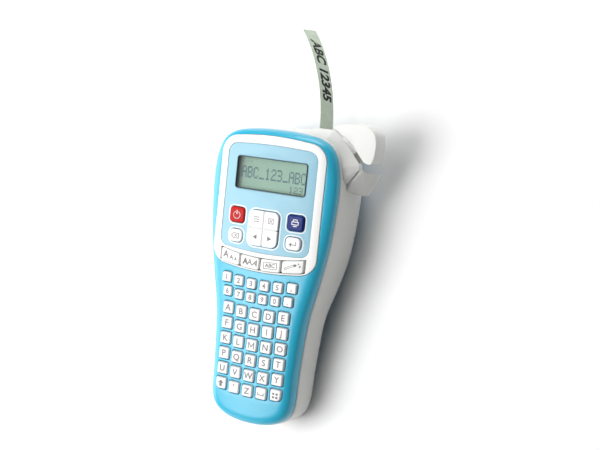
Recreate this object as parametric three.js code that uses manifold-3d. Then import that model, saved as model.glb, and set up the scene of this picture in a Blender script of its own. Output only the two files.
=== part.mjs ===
// Hand-held label maker, lying on its back with the keys up.
//
// Everything is modelled in the device's own axes: x to the right of the keys, y up the face towards
// the tape exit, z out of the face. Their zero is on the crown of the face, at the first letter row.
// The head is thicker than the handle, so the device leans on its back: the last group turns it by
// LEAN, so that the rest plane is z = 0 and the rest face on the back cover is the origin.
// All sizes are in millimetres.
import * as THREE from 'three';
import { mergeVertices } from 'three/addons/utils/BufferGeometryUtils.js';
import { ConvexGeometry } from 'three/addons/geometries/ConvexGeometry.js';
import Module from 'manifold-3d';

const wasm = await Module();
wasm.setup();

// ---------------------------------------------------------------- driving dimensions

const GAP = 0.3;                    // between neighbouring pieces
const WALL = 2;                     // moulded shells
const CROWN_RADIUS = 205;           // the face is a slice of a wide cylinder
const PARTING_Z = -11.5;            // front cover meets rear case
const EDGE_STEPS = 20;              // outline points on each side
const SPINE = { low: -45, high: 85 };

// Right half of the body's outline, from the bottom centre to the top centre.
const RIGHT_EDGE = [
  [0, -79], [16, -77.2], [27, -71.5], [32, -61], [33, -36], [35.4, -3], [40.6, 24],
  [45.4, 50], [48, 80], [47.6, 102], [43, 117], [33, 124.8], [16, 127.6], [0, 128.2],
];

const HEAD_BACK_Z = -57.5;          // back of the head, parallel to the face
const HEAD_LIP_Z = -52;             // where the white case ends on the head
const HANDLE_BACK = { y: -50, z: -38.5, slope: -0.05 };
const SHOULDER = { low: -8, high: 42 };   // where the handle swells into the head

const FLOOR = { top: -12, bottom: -13.2 };        // case floor under the circuit board
const BAY_PLATE = { top: -33, bottom: -34.2, y: 30 };   // plate over the cassette bay

const REST = { y: 38, z: -56.34, lean: 9.3 };     // rest face on the back cover, lean in degrees

const KEY_PITCH = 10.85;
const ROW_SAG = 0.0026;             // key rows bow downwards in the middle
const KEY_TRAVEL_ROOM = { bottom: -5.4, web: -4.2 };
const LETTER_KEY = { width: 8.4, height: 8.3, columns: 5, pitch: KEY_PITCH };
const ROWS = [
  { name: 'key_row_1', y: 20.8, width: 7.4, height: 7.0, columns: 6, pitch: 10.2 },
  { name: 'key_row_2', y: 11.3, width: 7.0, height: 6.7, columns: 6, pitch: 9.5 },
  ...[0, 1, 2, 3, 4, 5].map((row) => ({ name: `key_row_${row + 3}`, y: -row * KEY_PITCH, ...LETTER_KEY })),
];

const RING = { half: 40.3, low: 29.8, high: 123.8, lowCorner: 12, highCorner: 13, bow: 0.0026 };
const PANEL = { half: 34.5, low: 43, high: 117.6, lowCorner: 6, highCorner: 7, bow: 0.0016 };
const DISPLAY = { x: 0.6, y: 96.6, width: 54.4, height: 22.8 };
const ROUND_KEYS = [
  { name: 'power_key', x: -22, y: 66.9, width: 11.6, height: 10.6, corner: 2.2 },
  { name: 'print_key', x: 23.4, y: 67.2, width: 11.8, height: 10.6, corner: 2.2 },
  { name: 'clear_key', x: -21.6, y: 52.4, width: 10.4, height: 8.8, corner: 3 },
  { name: 'enter_key', x: 23, y: 53, width: 11.2, height: 8.8, corner: 3 },
];
const NAV_PAD = { y: 60, width: 22.4, height: 24.4, corner: 4, split: 0.5 };
const FORMAT_KEYS = { names: ['size_key', 'style_key', 'frame_key', 'deco_key'], pitch: 16.1, top: 39.4 };

const TAPE = { x: 18.4, z: -43.5, width: 12, thickness: 0.5, start: 88, twistFrom: 102, twistTo: 128 };
const TAPE_CURL = { radius: 100, angle: 46, twist: 25 };

const CASSETTE = { half: 38.4, low: 48, high: 104, front: -35.8, back: -52.4, corner: 5 };
const NOTCH = { left: 10, right: 33, low: 86 };
const ROLLER_RADIUS = 3.9;

const GEAR = { module: 0.9, top: -29.2, bottom: -32.4 };
const LEVER_PIVOT = { x: 41, y: 110 };
const LEVER = { front: -20, back: -37, armFront: -27, armBack: -32.6 };
const SCREWS = [[-29, -50], [29, -50], [-44.2, 75], [44.2, 75]];

const COLOURS = {
  blue: [0x9fd4ea, 0.4, 0],
  panel: [0xb9dfee, 0.45, 0],
  white: [0xf4f4f2, 0.4, 0],
  key: [0xf7f7f7, 0.45, 0],
  red: [0xd62027, 0.4, 0],
  navy: [0x1f3087, 0.4, 0],
  glass: [0xcfe0d8, 0.1, 0],
  display: [0xa3bda7, 0.4, 0],
  rubber: [0x202224, 0.9, 0],
  mat: [0xc9ccce, 0.8, 0],
  board: [0x1f5d3a, 0.6, 0],
  steel: [0x9a9da0, 0.35, 1],
  gear: [0xe9e4d0, 0.5, 0],
  smoke: [0x4b4f52, 0.4, 0],
  tape: [0xa9b8b0, 0.35, 0],
  cell: [0x2d6b3f, 0.4, 0.2],
};

// ---------------------------------------------------------------- shapes and solids

const clamp = THREE.MathUtils.clamp;
const smooth = THREE.MathUtils.smoothstep;
const radians = THREE.MathUtils.degToRad;
const mix = THREE.MathUtils.lerp;

function crown(x) {
  return -x * x / (2 * CROWN_RADIUS);
}

// Closed geometry to solid: shared vertices are merged and triangles with no area left out.
function solid(geometry) {
  const bare = geometry.clone();
  bare.deleteAttribute('normal');
  bare.deleteAttribute('uv');
  const merged = mergeVertices(bare, 1e-4);
  const index = merged.getIndex().array;
  const triangles = [];
  for (let i = 0; i < index.length; i += 3) {
    const [a, b, c] = index.slice(i, i + 3);
    if (a !== b && b !== c && c !== a) triangles.push(a, b, c);
  }
  return new wasm.Manifold(new wasm.Mesh({
    numProp: 3,
    vertProperties: new Float32Array(merged.getAttribute('position').array),
    triVerts: new Uint32Array(triangles),
  }));
}

function geometryOf(shape) {
  const mesh = shape.getMesh();
  const geometry = new THREE.BufferGeometry();
  geometry.setAttribute('position', new THREE.BufferAttribute(new Float32Array(mesh.vertProperties), 3));
  geometry.setIndex(new THREE.BufferAttribute(new Uint32Array(mesh.triVerts), 1));
  return geometry;
}

function join(first, ...others) {
  return others.reduce((whole, other) => whole.add(other), first);
}

function cut(first, ...others) {
  return others.reduce((whole, other) => whole.subtract(other), first);
}

// Rings of points, low to high, each counter-clockwise seen from +z, with each end ring collapsed.
function ringSolid(rings) {
  const size = rings[0].length;
  const indices = [];
  for (let r = 0; r + 1 < rings.length; r += 1) {
    for (let i = 0; i < size; i += 1) {
      const next = (i + 1) % size;
      const [a, b, c, d] = [r * size + i, r * size + next, (r + 1) * size + next, (r + 1) * size + i];
      indices.push(a, b, c, a, c, d);
    }
  }
  const geometry = new THREE.BufferGeometry();
  geometry.setAttribute('position', new THREE.Float32BufferAttribute(rings.flat(2), 3));
  geometry.setIndex(indices);
  return solid(geometry);
}

// A stack of convex rings closed with a point at the middle of each end.
function stack(rings) {
  const middle = (ring) => {
    const sum = ring.reduce((total, p) => [total[0] + p[0], total[1] + p[1], total[2] + p[2]], [0, 0, 0]);
    return ring.map(() => sum.map((value) => value / ring.length));
  };
  return ringSolid([middle(rings[0]), ...rings, middle(rings.at(-1))]);
}

function prism(points, low, high) {
  const shape = new THREE.Shape(points.map(([x, y]) => new THREE.Vector2(x, y)));
  const geometry = new THREE.ExtrudeGeometry(shape, { depth: high - low, bevelEnabled: false });
  return solid(geometry.translate(0, 0, low));
}

function box(x, y, z) {
  const geometry = new THREE.BoxGeometry(x[1] - x[0], y[1] - y[0], z[1] - z[0]);
  return solid(geometry.translate((x[0] + x[1]) / 2, (y[0] + y[1]) / 2, (z[0] + z[1]) / 2));
}

function cylinder(x, y, radius, low, high, sides = 16) {
  const geometry = new THREE.CylinderGeometry(radius, radius, high - low, sides);
  return solid(geometry.rotateX(Math.PI / 2).translate(x, y, (low + high) / 2));
}

function arc(cx, cy, radius, from, to, steps) {
  const points = [];
  for (let i = 0; i <= steps; i += 1) {
    const angle = radians(mix(from, to, i / steps));
    points.push([cx + radius * Math.cos(angle), cy + radius * Math.sin(angle)]);
  }
  return points;
}

function roundedRectangle(x, y, width, height, corner, steps = 2) {
  const [dx, dy] = [width / 2 - corner, height / 2 - corner];
  return [
    ...arc(x + dx, y + dy, corner, 0, 90, steps),
    ...arc(x - dx, y + dy, corner, 90, 180, steps),
    ...arc(x - dx, y - dy, corner, 180, 270, steps),
    ...arc(x + dx, y - dy, corner, 270, 360, steps),
  ];
}

// A frame shape with bowed lower and upper edges and round corners, grown by `grow`.
function bowedFrame(frame, grow = 0) {
  const half = frame.half + grow;
  const lowCorner = frame.lowCorner + grow;
  const highCorner = frame.highCorner + grow;
  const bowed = (x, edge, sign) => edge + sign * grow + frame.bow * x * x * (sign < 0 ? 1 : -1);
  const low = bowed(half - lowCorner, frame.low, -1) + lowCorner;
  const high = bowed(half - highCorner, frame.high, 1) - highCorner;
  const lowEdge = [-0.66, -0.33, 0, 0.33, 0.66].map((t) => t * (half - lowCorner));
  const highEdge = [0.66, 0.33, 0, -0.33, -0.66].map((t) => t * (half - highCorner));
  return [
    ...arc(half - lowCorner, low, lowCorner, 280, 360, 5),
    ...arc(half - highCorner, high, highCorner, 0, 80, 5),
    ...highEdge.map((x) => [x, bowed(x, frame.high, 1)]),
    ...arc(highCorner - half, high, highCorner, 100, 180, 5),
    ...arc(lowCorner - half, low, lowCorner, 180, 260, 5),
    ...lowEdge.map((x) => [x, bowed(x, frame.low, -1)]),
  ];
}

// ---------------------------------------------------------------- body outline and loaves

// Points and outward normals of the right half of the outline.
function rightHalf() {
  const left = RIGHT_EDGE.slice(1, -1).reverse().map(([x, y]) => [-x, y]);
  const corners = [...RIGHT_EDGE, ...left].map(([x, y]) => new THREE.Vector3(x, y, 0));
  const curve = new THREE.CatmullRomCurve3(corners, true, 'centripetal');
  const half = [];
  for (let i = 0; i <= EDGE_STEPS; i += 1) {
    const t = i / EDGE_STEPS / 2;
    const point = curve.getPointAt(t);
    const tangent = curve.getTangentAt(t);
    const atEnd = i === 0 || i === EDGE_STEPS;
    half.push({ x: atEnd ? 0 : point.x, y: point.y, nx: atEnd ? 0 : tangent.y, ny: -tangent.x });
  }
  return half;
}

const HALF = rightHalf();

function outline(inset) {
  const right = HALF.map((p) => [p.x - p.nx * inset, p.y - p.ny * inset]);
  const left = right.slice(1, -1).reverse().map(([x, y]) => [-x, y]);
  return [...right, ...left];
}

// Solid with the body's outline. Each level has an inset and a height that may vary over the face.
function loaf(levels, capSteps = 1) {
  const ring = ({ inset, z }, t = 0) => outline(inset).map(([x, y]) => {
    const px = x * (1 - t);
    const py = mix(y, clamp(y, SPINE.low, SPINE.high), t);
    return [px, py, z(px, py)];
  });
  const caps = [];
  for (let i = 1; i <= capSteps; i += 1) caps.push(ring(levels.at(-1), i / capSteps));
  return ringSolid([ring(levels[0], 1), ...levels.map((level) => ring(level)), ...caps]);
}

// Slice of the crowned face between two depths below the crown.
function crownSlab(low, high) {
  const stations = [];
  for (let x = -50; x <= 50; x += 5) stations.push(x);
  const top = stations.map((x) => new THREE.Vector2(x, crown(x) + high));
  const bottom = stations.map((x) => new THREE.Vector2(x, crown(x) + low)).reverse();
  const geometry = new THREE.ExtrudeGeometry(new THREE.Shape([...top, ...bottom].reverse()), {
    depth: 240,
    bevelEnabled: false,
  });
  return solid(geometry.rotateX(Math.PI / 2).translate(0, 140, 0));
}

function crownedPlate(points, low, high) {
  return crownSlab(low, high).intersect(prism(points, -20, 10));
}

function handleBack(y) {
  return HANDLE_BACK.z + (y - HANDLE_BACK.y) * HANDLE_BACK.slope;
}

function backZ(x, y) {
  return mix(handleBack(y), HEAD_BACK_Z, smooth(y, SHOULDER.low, SHOULDER.high));
}

function lipZ(x, y) {
  return mix(handleBack(y) + 1, HEAD_LIP_Z, smooth(y, SHOULDER.low, SHOULDER.high));
}

// ---------------------------------------------------------------- keys

function rowKeys(row) {
  const keys = [];
  for (let column = 0; column < row.columns; column += 1) {
    const x = (column - (row.columns - 1) / 2) * row.pitch;
    keys.push({ x, y: row.y + ROW_SAG * x * x, width: row.width, height: row.height });
  }
  return keys;
}

function keycap(points, bottom, top) {
  const [cx, cy] = [0, 1].map((axis) => points.reduce((sum, p) => sum + p[axis], 0) / points.length);
  const level = (shrink, z) => points.map(([x, y]) => [cx + (x - cx) * shrink, cy + (y - cy) * shrink, z]);
  return stack([level(1, bottom), level(1, top - 0.7), level(0.9, top)]);
}

function rectangle({ x, y, width, height }) {
  const [dx, dy] = [width / 2, height / 2];
  return [[x + dx, y - dy], [x + dx, y + dy], [x - dx, y + dy], [x - dx, y - dy]];
}

function keyRow(row) {
  const caps = rowKeys(row).map((key) => {
    return keycap(rectangle(key), KEY_TRAVEL_ROOM.web - 0.4, crown(key.x) + 1.6);
  });
  const reach = (row.columns - 1) / 2 * row.pitch + row.width / 2 - 1;
  const stations = [-1, -0.5, 0, 0.5, 1].map((t) => t * reach);
  const edge = (side) => stations.map((x) => [x, row.y + ROW_SAG * x * x + side * 3]);
  const web = prism([...edge(-1), ...edge(1).reverse()], KEY_TRAVEL_ROOM.bottom, KEY_TRAVEL_ROOM.web);
  return join(web, ...caps);
}

function headKey(key) {
  const points = roundedRectangle(key.x, key.y, key.width, key.height, key.corner, 3);
  return keycap(points, KEY_TRAVEL_ROOM.bottom, crown(key.x) + 1.6);
}

const navShape = (grow) => roundedRectangle(
  0, NAV_PAD.y, NAV_PAD.width + 2 * grow, NAV_PAD.height + 2 * grow, NAV_PAD.corner + grow, 4);

// One quarter of the four-way pad.
function navKey(side, end) {
  const far = 20;
  const near = NAV_PAD.split / 2;
  const pad = keycap(navShape(0), KEY_TRAVEL_ROOM.bottom, 1.7);
  const x = side > 0 ? [near, far] : [-far, -near];
  const y = end > 0 ? [NAV_PAD.y + near, NAV_PAD.y + far] : [NAV_PAD.y - far, NAV_PAD.y - near];
  return pad.intersect(box(x, y, [-10, 10]));
}

// Strip along the lower arc of the ring, between two x values.
function arcStrip(left, right, grow) {
  const stations = [0, 0.5, 1].map((t) => mix(left, right, t));
  const top = stations.map((x) => [x, FORMAT_KEYS.top + grow + 0.0032 * x * x]).reverse();
  return prism([[left, RING.low - 4], [right, RING.low - 4], ...top], -12, 8);
}

function formatKey(column) {
  const middle = (column - 1.5) * FORMAT_KEYS.pitch;
  const half = FORMAT_KEYS.pitch / 2 - 0.7;
  const outer = Math.abs(column - 1.5) > 1;
  const left = middle - half - (outer && column < 2 ? 0.6 : 0);
  const right = middle + half + (outer && column > 1 ? 0.6 : 0);
  const shape = arcStrip(left, right, 0).intersect(prism(bowedFrame(RING, -1.4), -12, 8));
  const height = crownSlab(-12, 1.2).intersect(box([-60, 60], [0, 60], [KEY_TRAVEL_ROOM.bottom, 8]));
  return shape.intersect(height);
}

const formatPocket = () => arcStrip(-33.4, 33.4, 0.4).intersect(prism(bowedFrame(RING, -1), -12, 8));

// ---------------------------------------------------------------- shells

function frontCover() {
  const rim = () => PARTING_Z;
  const rise = (share, drop) => (x) => mix(PARTING_Z, crown(x) - drop, share);
  const roll = [[0, 0.32], [0.5, 0.62], [2, 0.86], [4.6, 0.96], [8, 1]];
  const outerRoll = roll.map(([inset, share]) => ({ inset, z: rise(share, 0) }));
  const outer = loaf([{ inset: 0, z: rim }, ...outerRoll], 3);
  const inner = loaf([
    { inset: WALL, z: () => PARTING_Z - 2 },
    ...roll.map(([inset, share]) => ({ inset: inset + WALL, z: rise(share, WALL) })),
  ], 3);
  const bosses = SCREWS.map(([x, y]) => cylinder(x, y, 2.3, -11.2, crown(x) - WALL + 0.2, 12));
  const bores = SCREWS.map(([x, y]) => cylinder(x, y, 1.4, -14, -4.6 + crown(x), 8));
  const keyHoles = ROWS.flatMap(rowKeys).map((key) => {
    const half = [key.width / 2 + 0.4, key.height / 2 + 0.4];
    return box([key.x - half[0], key.x + half[0]], [key.y - half[1], key.y + half[1]], [-6, 3]);
  });
  const headHole = prism(bowedFrame(RING, GAP), -12, 8);
  return cut(join(cut(outer, inner), ...bosses), ...bores, headHole, ...keyHoles);
}

function bezelRing() {
  const top = crownedPlate(bowedFrame(RING), -3.4, 0.5);
  const inCover = prism(outline(5.6), -12, 8);
  const flange = crownedPlate(bowedFrame(RING, 1.2), -4.2, -3.2).intersect(inCover);
  return cut(join(top, flange), prism(bowedFrame(PANEL, GAP), -12, 8), formatPocket());
}

function facePanel() {
  const plate = crownedPlate(bowedFrame(PANEL), -2.4, 0.2);
  const display = roundedRectangle(DISPLAY.x, DISPLAY.y, DISPLAY.width, DISPLAY.height, 2);
  const keyHoles = ROUND_KEYS.map((key) => prism(
    roundedRectangle(key.x, key.y, key.width + 0.8, key.height + 0.8, key.corner + 0.4), -12, 8));
  return cut(plate, prism(display, -12, 8), prism(navShape(0.4), -12, 8), ...keyHoles);
}

function caseBody() {
  const level = (inset, share) => ({ inset, z: (x, y) => mix(PARTING_Z - GAP, lipZ(x, y), share) });
  return loaf([level(1.4, 1), level(-0.6, 0.94), level(-1.5, 0.82), level(-1.1, 0.3), level(0.2, 0)]);
}

// Flared shoulder in front of the cutter lever, on the head's upper right corner.
function leverShoulder() {
  const front = [[45, 98], [46.6, 108], [42.4, 116.6], [33, 124.2], [22, 127], [12, 127.6]];
  const back = [
    [47, 92], [58.2, 107.6], [58.4, 110.8], [48.4, 122.4], [42, 128.6], [36, 132.6], [26, 132.6], [14, 130],
  ];
  const points = [...front.map(([x, y]) => [x, y, -13]), ...back.map(([x, y]) => [x, y, LEVER.front + 1.2])];
  return solid(new ConvexGeometry(points.map((p) => new THREE.Vector3(...p))));
}

// Wedge on the case's side that the lever closes down towards.
function leverGuard() {
  const upper = [[44, 106.4, -20.5], [59.6, 107.2, -20.5], [67, 104.6, -35], [66.6, 104.4, -39], [44, 104.4, -39]];
  const lower = [[44, 92, -20.5], [49, 92, -20.5], [58.8, 89, -35], [58.2, 88.8, -39], [44, 88.6, -39]];
  return solid(new ConvexGeometry([...upper, ...lower].map((p) => new THREE.Vector3(...p))));
}

function rearCase() {
  const constant = (z) => () => z;
  const front = loaf([{ inset: WALL, z: constant(FLOOR.top) }, { inset: WALL, z: constant(PARTING_Z + 2) }]);
  const share = (t) => (x, y) => mix(FLOOR.bottom, lipZ(x, y), t);
  const back = loaf([
    { inset: 3.4, z: share(1.2) },
    { inset: 3.4, z: share(0.94) },
    { inset: 0.8, z: share(0.86) },
    { inset: 0.8, z: share(0) },
  ]);
  const plate = box([-60, 60], [BAY_PLATE.y, 140], [BAY_PLATE.bottom, BAY_PLATE.top]);
  const shell = cut(join(caseBody(), leverShoulder(), leverGuard()), front, back.subtract(plate));
  const shafts = [ROLLER, CAM_GEAR].map((at) => cylinder(at.x, at.y, 3.1, -36, -31, 12));
  const armSlot = box([38, 70], [105.6, 118.5], [LEVER.armBack - 0.4, LEVER.armFront + 0.6]);
  const tapeSlot = box([TAPE.x - 4.2, TAPE.x + 4.2], [118, 140], [TAPE.z - 6.6, TAPE.z + 6.6]);
  const socketHole = solid(new THREE.CylinderGeometry(4.3, 4.3, 12, 16).rotateZ(Math.PI / 2)
    .translate(-48, SOCKET.y, SOCKET.z));
  const screwHoles = SCREWS.map(([x, y]) => cylinder(x, y, 1.5, -16, -10, 8));
  return cut(shell, armSlot, tapeSlot, socketHole, ...shafts, ...screwHoles);
}

// Everything below the plane that the device rests on.
function belowRestPlane() {
  const geometry = new THREE.BoxGeometry(300, 400, 60).translate(0, 0, -30);
  geometry.rotateX(-radians(REST.lean)).translate(0, REST.y, REST.z);
  return solid(geometry);
}

function backCover() {
  const edge = 3.9;
  const level = (inset, lift) => ({ inset, z: (x, y) => Math.min(backZ(x, y) + lift, lipZ(x, y) + 1.2) });
  const outer = loaf([level(edge + 3.4, 0), level(edge + 1.2, 0.9), level(edge, 3), level(edge, 30)]);
  const inner = loaf([
    { inset: edge + 3.8, z: (x, y) => backZ(x, y) + WALL },
    { inset: edge + 2, z: (x, y) => backZ(x, y) + WALL + 1.4 },
    { inset: edge + 2, z: (x, y) => backZ(x, y) + 12 },
  ]);
  return cut(outer, inner, belowRestPlane());
}

function rubberFoot() {
  const points = roundedRectangle(0, -62, 34, 9, 3);
  const under = loaf([
    { inset: 5, z: () => -60 },
    { inset: 5, z: (x, y) => backZ(x, y) - GAP },
  ]);
  return cut(prism(points, -60, -30).intersect(under), belowRestPlane());
}

// ---------------------------------------------------------------- inside the front

function keyMat() {
  const handle = roundedRectangle(0, -16, 52, 90, 4);
  const head = roundedRectangle(0, 51, 64, 45, 4);
  return join(prism(handle, -8, -6.9), prism(head, -8, -6.9));
}

// ---------------------------------------------------------------- drive

const ROLLER = { x: TAPE.x + TAPE.thickness / 2 + GAP + ROLLER_RADIUS, y: 93, teeth: 14 };
const PINION = { x: -20, y: 60, teeth: 10 };
const IDLER = { teeth: 32 };
const CROSS_GEAR = { teeth: 24 };
const CAM_GEAR = { teeth: 20 };
const SOCKET = { y: 84, z: -24 };

const pitchRadius = (gear) => gear.teeth * GEAR.module / 2;
const distance = (a, b) => pitchRadius(a) + pitchRadius(b);

function placeBeside(gear, partner, angle) {
  gear.x = partner.x + distance(gear, partner) * Math.cos(angle);
  gear.y = partner.y + distance(gear, partner) * Math.sin(angle);
}

// Puts a gear in mesh with two others at once.
function placeBetween(gear, from, to) {
  const span = Math.hypot(to.x - from.x, to.y - from.y);
  const near = distance(gear, from);
  const far = distance(gear, to);
  const angle = Math.acos((near * near + span * span - far * far) / (2 * near * span));
  placeBeside(gear, from, Math.atan2(to.y - from.y, to.x - from.x) - angle);
}

placeBeside(IDLER, PINION, 0);
placeBetween(CROSS_GEAR, IDLER, ROLLER);
placeBeside(CAM_GEAR, IDLER, radians(118));

// Turns a gear so that its gaps meet the teeth of the gear that it runs with.
function mesh(gear, partner) {
  const angle = Math.atan2(gear.y - partner.y, gear.x - partner.x);
  gear.phase = angle + Math.PI - (Math.PI - partner.teeth * (angle - partner.phase)) / gear.teeth;
}

PINION.phase = 0;
mesh(IDLER, PINION);
mesh(CROSS_GEAR, IDLER);
mesh(ROLLER, CROSS_GEAR);
mesh(CAM_GEAR, IDLER);

function gearWheel(gear) {
  const radius = pitchRadius(gear);
  const step = 2 * Math.PI / gear.teeth;
  const [root, tip] = [radius - 1.15, radius + 0.75];
  const points = [];
  for (let tooth = 0; tooth < gear.teeth; tooth += 1) {
    const middle = gear.phase + tooth * step;
    for (const [r, turn] of [[root, -0.26], [tip, -0.12], [tip, 0.12], [root, 0.26]]) {
      const angle = middle + turn * step;
      points.push([gear.x + r * Math.cos(angle), gear.y + r * Math.sin(angle)]);
    }
  }
  return prism(points, GEAR.bottom, GEAR.top);
}

function shaftedGear(gear, shaftRadius, low, high) {
  return join(gearWheel(gear), cylinder(gear.x, gear.y, shaftRadius, low, high, 12));
}

function platenRoller() {
  const roller = cylinder(ROLLER.x, ROLLER.y, ROLLER_RADIUS, TAPE.z - 6.4, TAPE.z + 6.4, 20);
  return join(shaftedGear(ROLLER, 2, TAPE.z - 8, GEAR.top), roller);
}

function ribbonDriveCam() {
  const spline = prism(starPoints(CAM_GEAR.x, CAM_GEAR.y, 1.7, 2.4, 6), -49, -36);
  return join(shaftedGear(CAM_GEAR, 2.4, -37, GEAR.top), spline);
}

function starPoints(x, y, inner, outer, count) {
  const points = [];
  for (let i = 0; i < count * 2; i += 1) {
    const radius = i % 2 ? inner : outer;
    const angle = i * Math.PI / count;
    points.push([x + radius * Math.cos(angle), y + radius * Math.sin(angle)]);
  }
  return points;
}

function driveMotor() {
  const can = cylinder(PINION.x, PINION.y, 10, -28, -13.6, 24);
  const bearing = cylinder(PINION.x, PINION.y, 3, -28.7, -28, 12);
  return join(can, bearing);
}

// ---------------------------------------------------------------- cassette and tape

// Cassette outline with round corners and the notch for the print head and roller.
function cassetteShape(inset) {
  const height = CASSETTE.high - CASSETTE.low;
  const middle = (CASSETTE.high + CASSETTE.low) / 2;
  const whole = roundedRectangle(
    0, middle, 2 * (CASSETTE.half - inset), height - 2 * inset, CASSETTE.corner - inset);
  const notch = box([NOTCH.left - inset, NOTCH.right + inset], [NOTCH.low - inset, 140], [-100, 0]);
  return (low, high) => cut(prism(whole, low, high), notch);
}

function cassetteBase() {
  const outer = cassetteShape(0)(CASSETTE.back + 1.7, CASSETTE.front);
  const inner = cassetteShape(1.4)(CASSETTE.back - 2, CASSETTE.front - 1.2);
  return cut(outer, inner, cylinder(CAM_GEAR.x, CAM_GEAR.y, 3.1, -40, -30, 12));
}

function cassetteLid() {
  return cassetteShape(0)(CASSETTE.back, CASSETTE.back + 1.4);
}

const SPOOL_Z = { low: TAPE.z - 6.4, high: TAPE.z + 6 };

function spool(x, y, outer, inner) {
  const low = SPOOL_Z.low;
  const high = SPOOL_Z.high;
  return cut(cylinder(x, y, outer, low, high, 28), cylinder(x, y, inner, low - 1, high + 1, 12));
}

// The tape runs straight past the print head, twists a little in the exit, then curls back.
function labelTape() {
  const sections = [];
  const half = { width: TAPE.width / 2, thickness: TAPE.thickness / 2 };
  const addSection = (point, heading, twist) => {
    const forward = heading.clone().normalize();
    const across = new THREE.Vector3(-Math.sin(twist), 0, Math.cos(twist));
    const normal = new THREE.Vector3().crossVectors(forward, across).normalize();
    const corner = (w, t) => point.clone().addScaledVector(across, w).addScaledVector(normal, t).toArray();
    const { width: w, thickness: t } = half;
    sections.push([corner(-w, -t), corner(w, -t), corner(w, t), corner(-w, t)]);
  };
  const up = new THREE.Vector3(0, 1, 0);
  for (const y of [TAPE.start, TAPE.twistFrom, 106, 110, 114, 118, 122, 126]) {
    const turn = smooth(y, TAPE.twistFrom, TAPE.twistTo);
    addSection(new THREE.Vector3(TAPE.x, y, TAPE.z), up, radians(TAPE_CURL.twist) * turn);
  }
  const twist = radians(TAPE_CURL.twist);
  const away = new THREE.Vector3(-Math.cos(twist), 0, -Math.sin(twist));
  const base = new THREE.Vector3(TAPE.x, TAPE.twistTo, TAPE.z);
  for (let i = 0; i <= 14; i += 1) {
    const angle = radians(TAPE_CURL.angle) * i / 14;
    const rise = TAPE_CURL.radius * Math.sin(angle);
    const lean = TAPE_CURL.radius * (1 - Math.cos(angle));
    const heading = up.clone().multiplyScalar(Math.cos(angle)).addScaledVector(away, Math.sin(angle));
    const point = base.clone().addScaledVector(up, rise).addScaledVector(away, lean);
    addSection(point, heading, twist);
  }
  return stack(sections);
}

// ---------------------------------------------------------------- cutter

function cutterLever() {
  const plan = [
    [33, 133.8], [49.4, 124], [60.2, 111.9], [65.6, 111.3], [67.4, 117.8], [67.8, 125.8], [66, 132.8],
    [61, 136.6], [52.6, 137.8], [42, 137],
  ];
  const blockShape = new THREE.Shape(plan.map(([x, y]) => new THREE.Vector2(x, y)));
  const block = solid(new THREE.ExtrudeGeometry(blockShape, {
    depth: LEVER.front - LEVER.back - 2,
    bevelThickness: 1,
    bevelSize: 1,
    bevelOffset: -1,
    bevelSegments: 1,
  }).translate(0, 0, LEVER.back + 1));
  const armShape = [[40, 106.8], [42.6, 106.6], [62, 115.4], [58, 122], [39.6, 113.3]];
  const arm = prism(armShape, LEVER.armBack, LEVER.armFront);
  const hub = cylinder(LEVER_PIVOT.x, LEVER_PIVOT.y, 3.5, LEVER.armBack, LEVER.armFront, 16);
  const bore = cylinder(LEVER_PIVOT.x, LEVER_PIVOT.y, 1.5, -40, -20, 12);
  return cut(join(block, arm, hub), bore);
}

function leverPin() {
  return cylinder(LEVER_PIVOT.x, LEVER_PIVOT.y, 1.2, BAY_PLATE.top + GAP, FLOOR.bottom - GAP, 12);
}

function leverSpring() {
  const turns = 3;
  const steps = turns * 8;
  const points = [];
  for (let i = 0; i <= steps; i += 1) {
    const angle = i / steps * turns * 2 * Math.PI;
    const [x, y] = [LEVER_PIVOT.x + 2.4 * Math.cos(angle), LEVER_PIVOT.y + 2.4 * Math.sin(angle)];
    points.push(new THREE.Vector3(x, y, mix(-26, -17, i / steps)));
  }
  const section = new THREE.Shape(arc(0, 0, 0.4, 0, 300, 5).map(([x, y]) => new THREE.Vector2(x, y)));
  return solid(new THREE.ExtrudeGeometry(section, {
    steps,
    bevelEnabled: false,
    extrudePath: new THREE.CatmullRomCurve3(points),
  }));
}

// ---------------------------------------------------------------- power and fasteners

function battery(x, z) {
  const profile = [[0, 0], [5.25, 0], [5.25, 43.2], [1.9, 43.2], [1.9, 44.5], [0, 44.5]];
  const geometry = new THREE.LatheGeometry(profile.map(([r, y]) => new THREE.Vector2(r, y)), 12);
  return solid(geometry.translate(x, -57, z));
}

function powerSocket() {
  const body = box([-47, -37], [SOCKET.y - 3.9, SOCKET.y + 3.9], [SOCKET.z - 3.9, SOCKET.z + 3.9]);
  const mouth = new THREE.CylinderGeometry(3.9, 3.9, 2.6, 16).rotateZ(Math.PI / 2);
  const bore = new THREE.CylinderGeometry(2.8, 2.8, 9, 16).rotateZ(Math.PI / 2);
  const pin = new THREE.CylinderGeometry(0.8, 0.8, 8, 8).rotateZ(Math.PI / 2);
  const at = (geometry, x) => solid(geometry.translate(x, SOCKET.y, SOCKET.z));
  return join(cut(join(body, at(mouth, -48)), at(bore, -45.5)), at(pin, -44));
}

function caseScrew(x, y) {
  const head = cylinder(x, y, 2.3, FLOOR.bottom - 1.7, FLOOR.bottom - GAP, 12);
  return join(head, cylinder(x, y, 1.1, FLOOR.bottom - 1, -5.4 + crown(x), 8));
}

// ---------------------------------------------------------------- assembly

const device = new THREE.Group();

function add(name, colour, shape) {
  const [color, roughness, metalness] = COLOURS[colour];
  const material = new THREE.MeshStandardMaterial({ color, roughness, metalness });
  const piece = new THREE.Mesh(geometryOf(shape), material);
  piece.name = name;
  device.add(piece);
}

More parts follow.
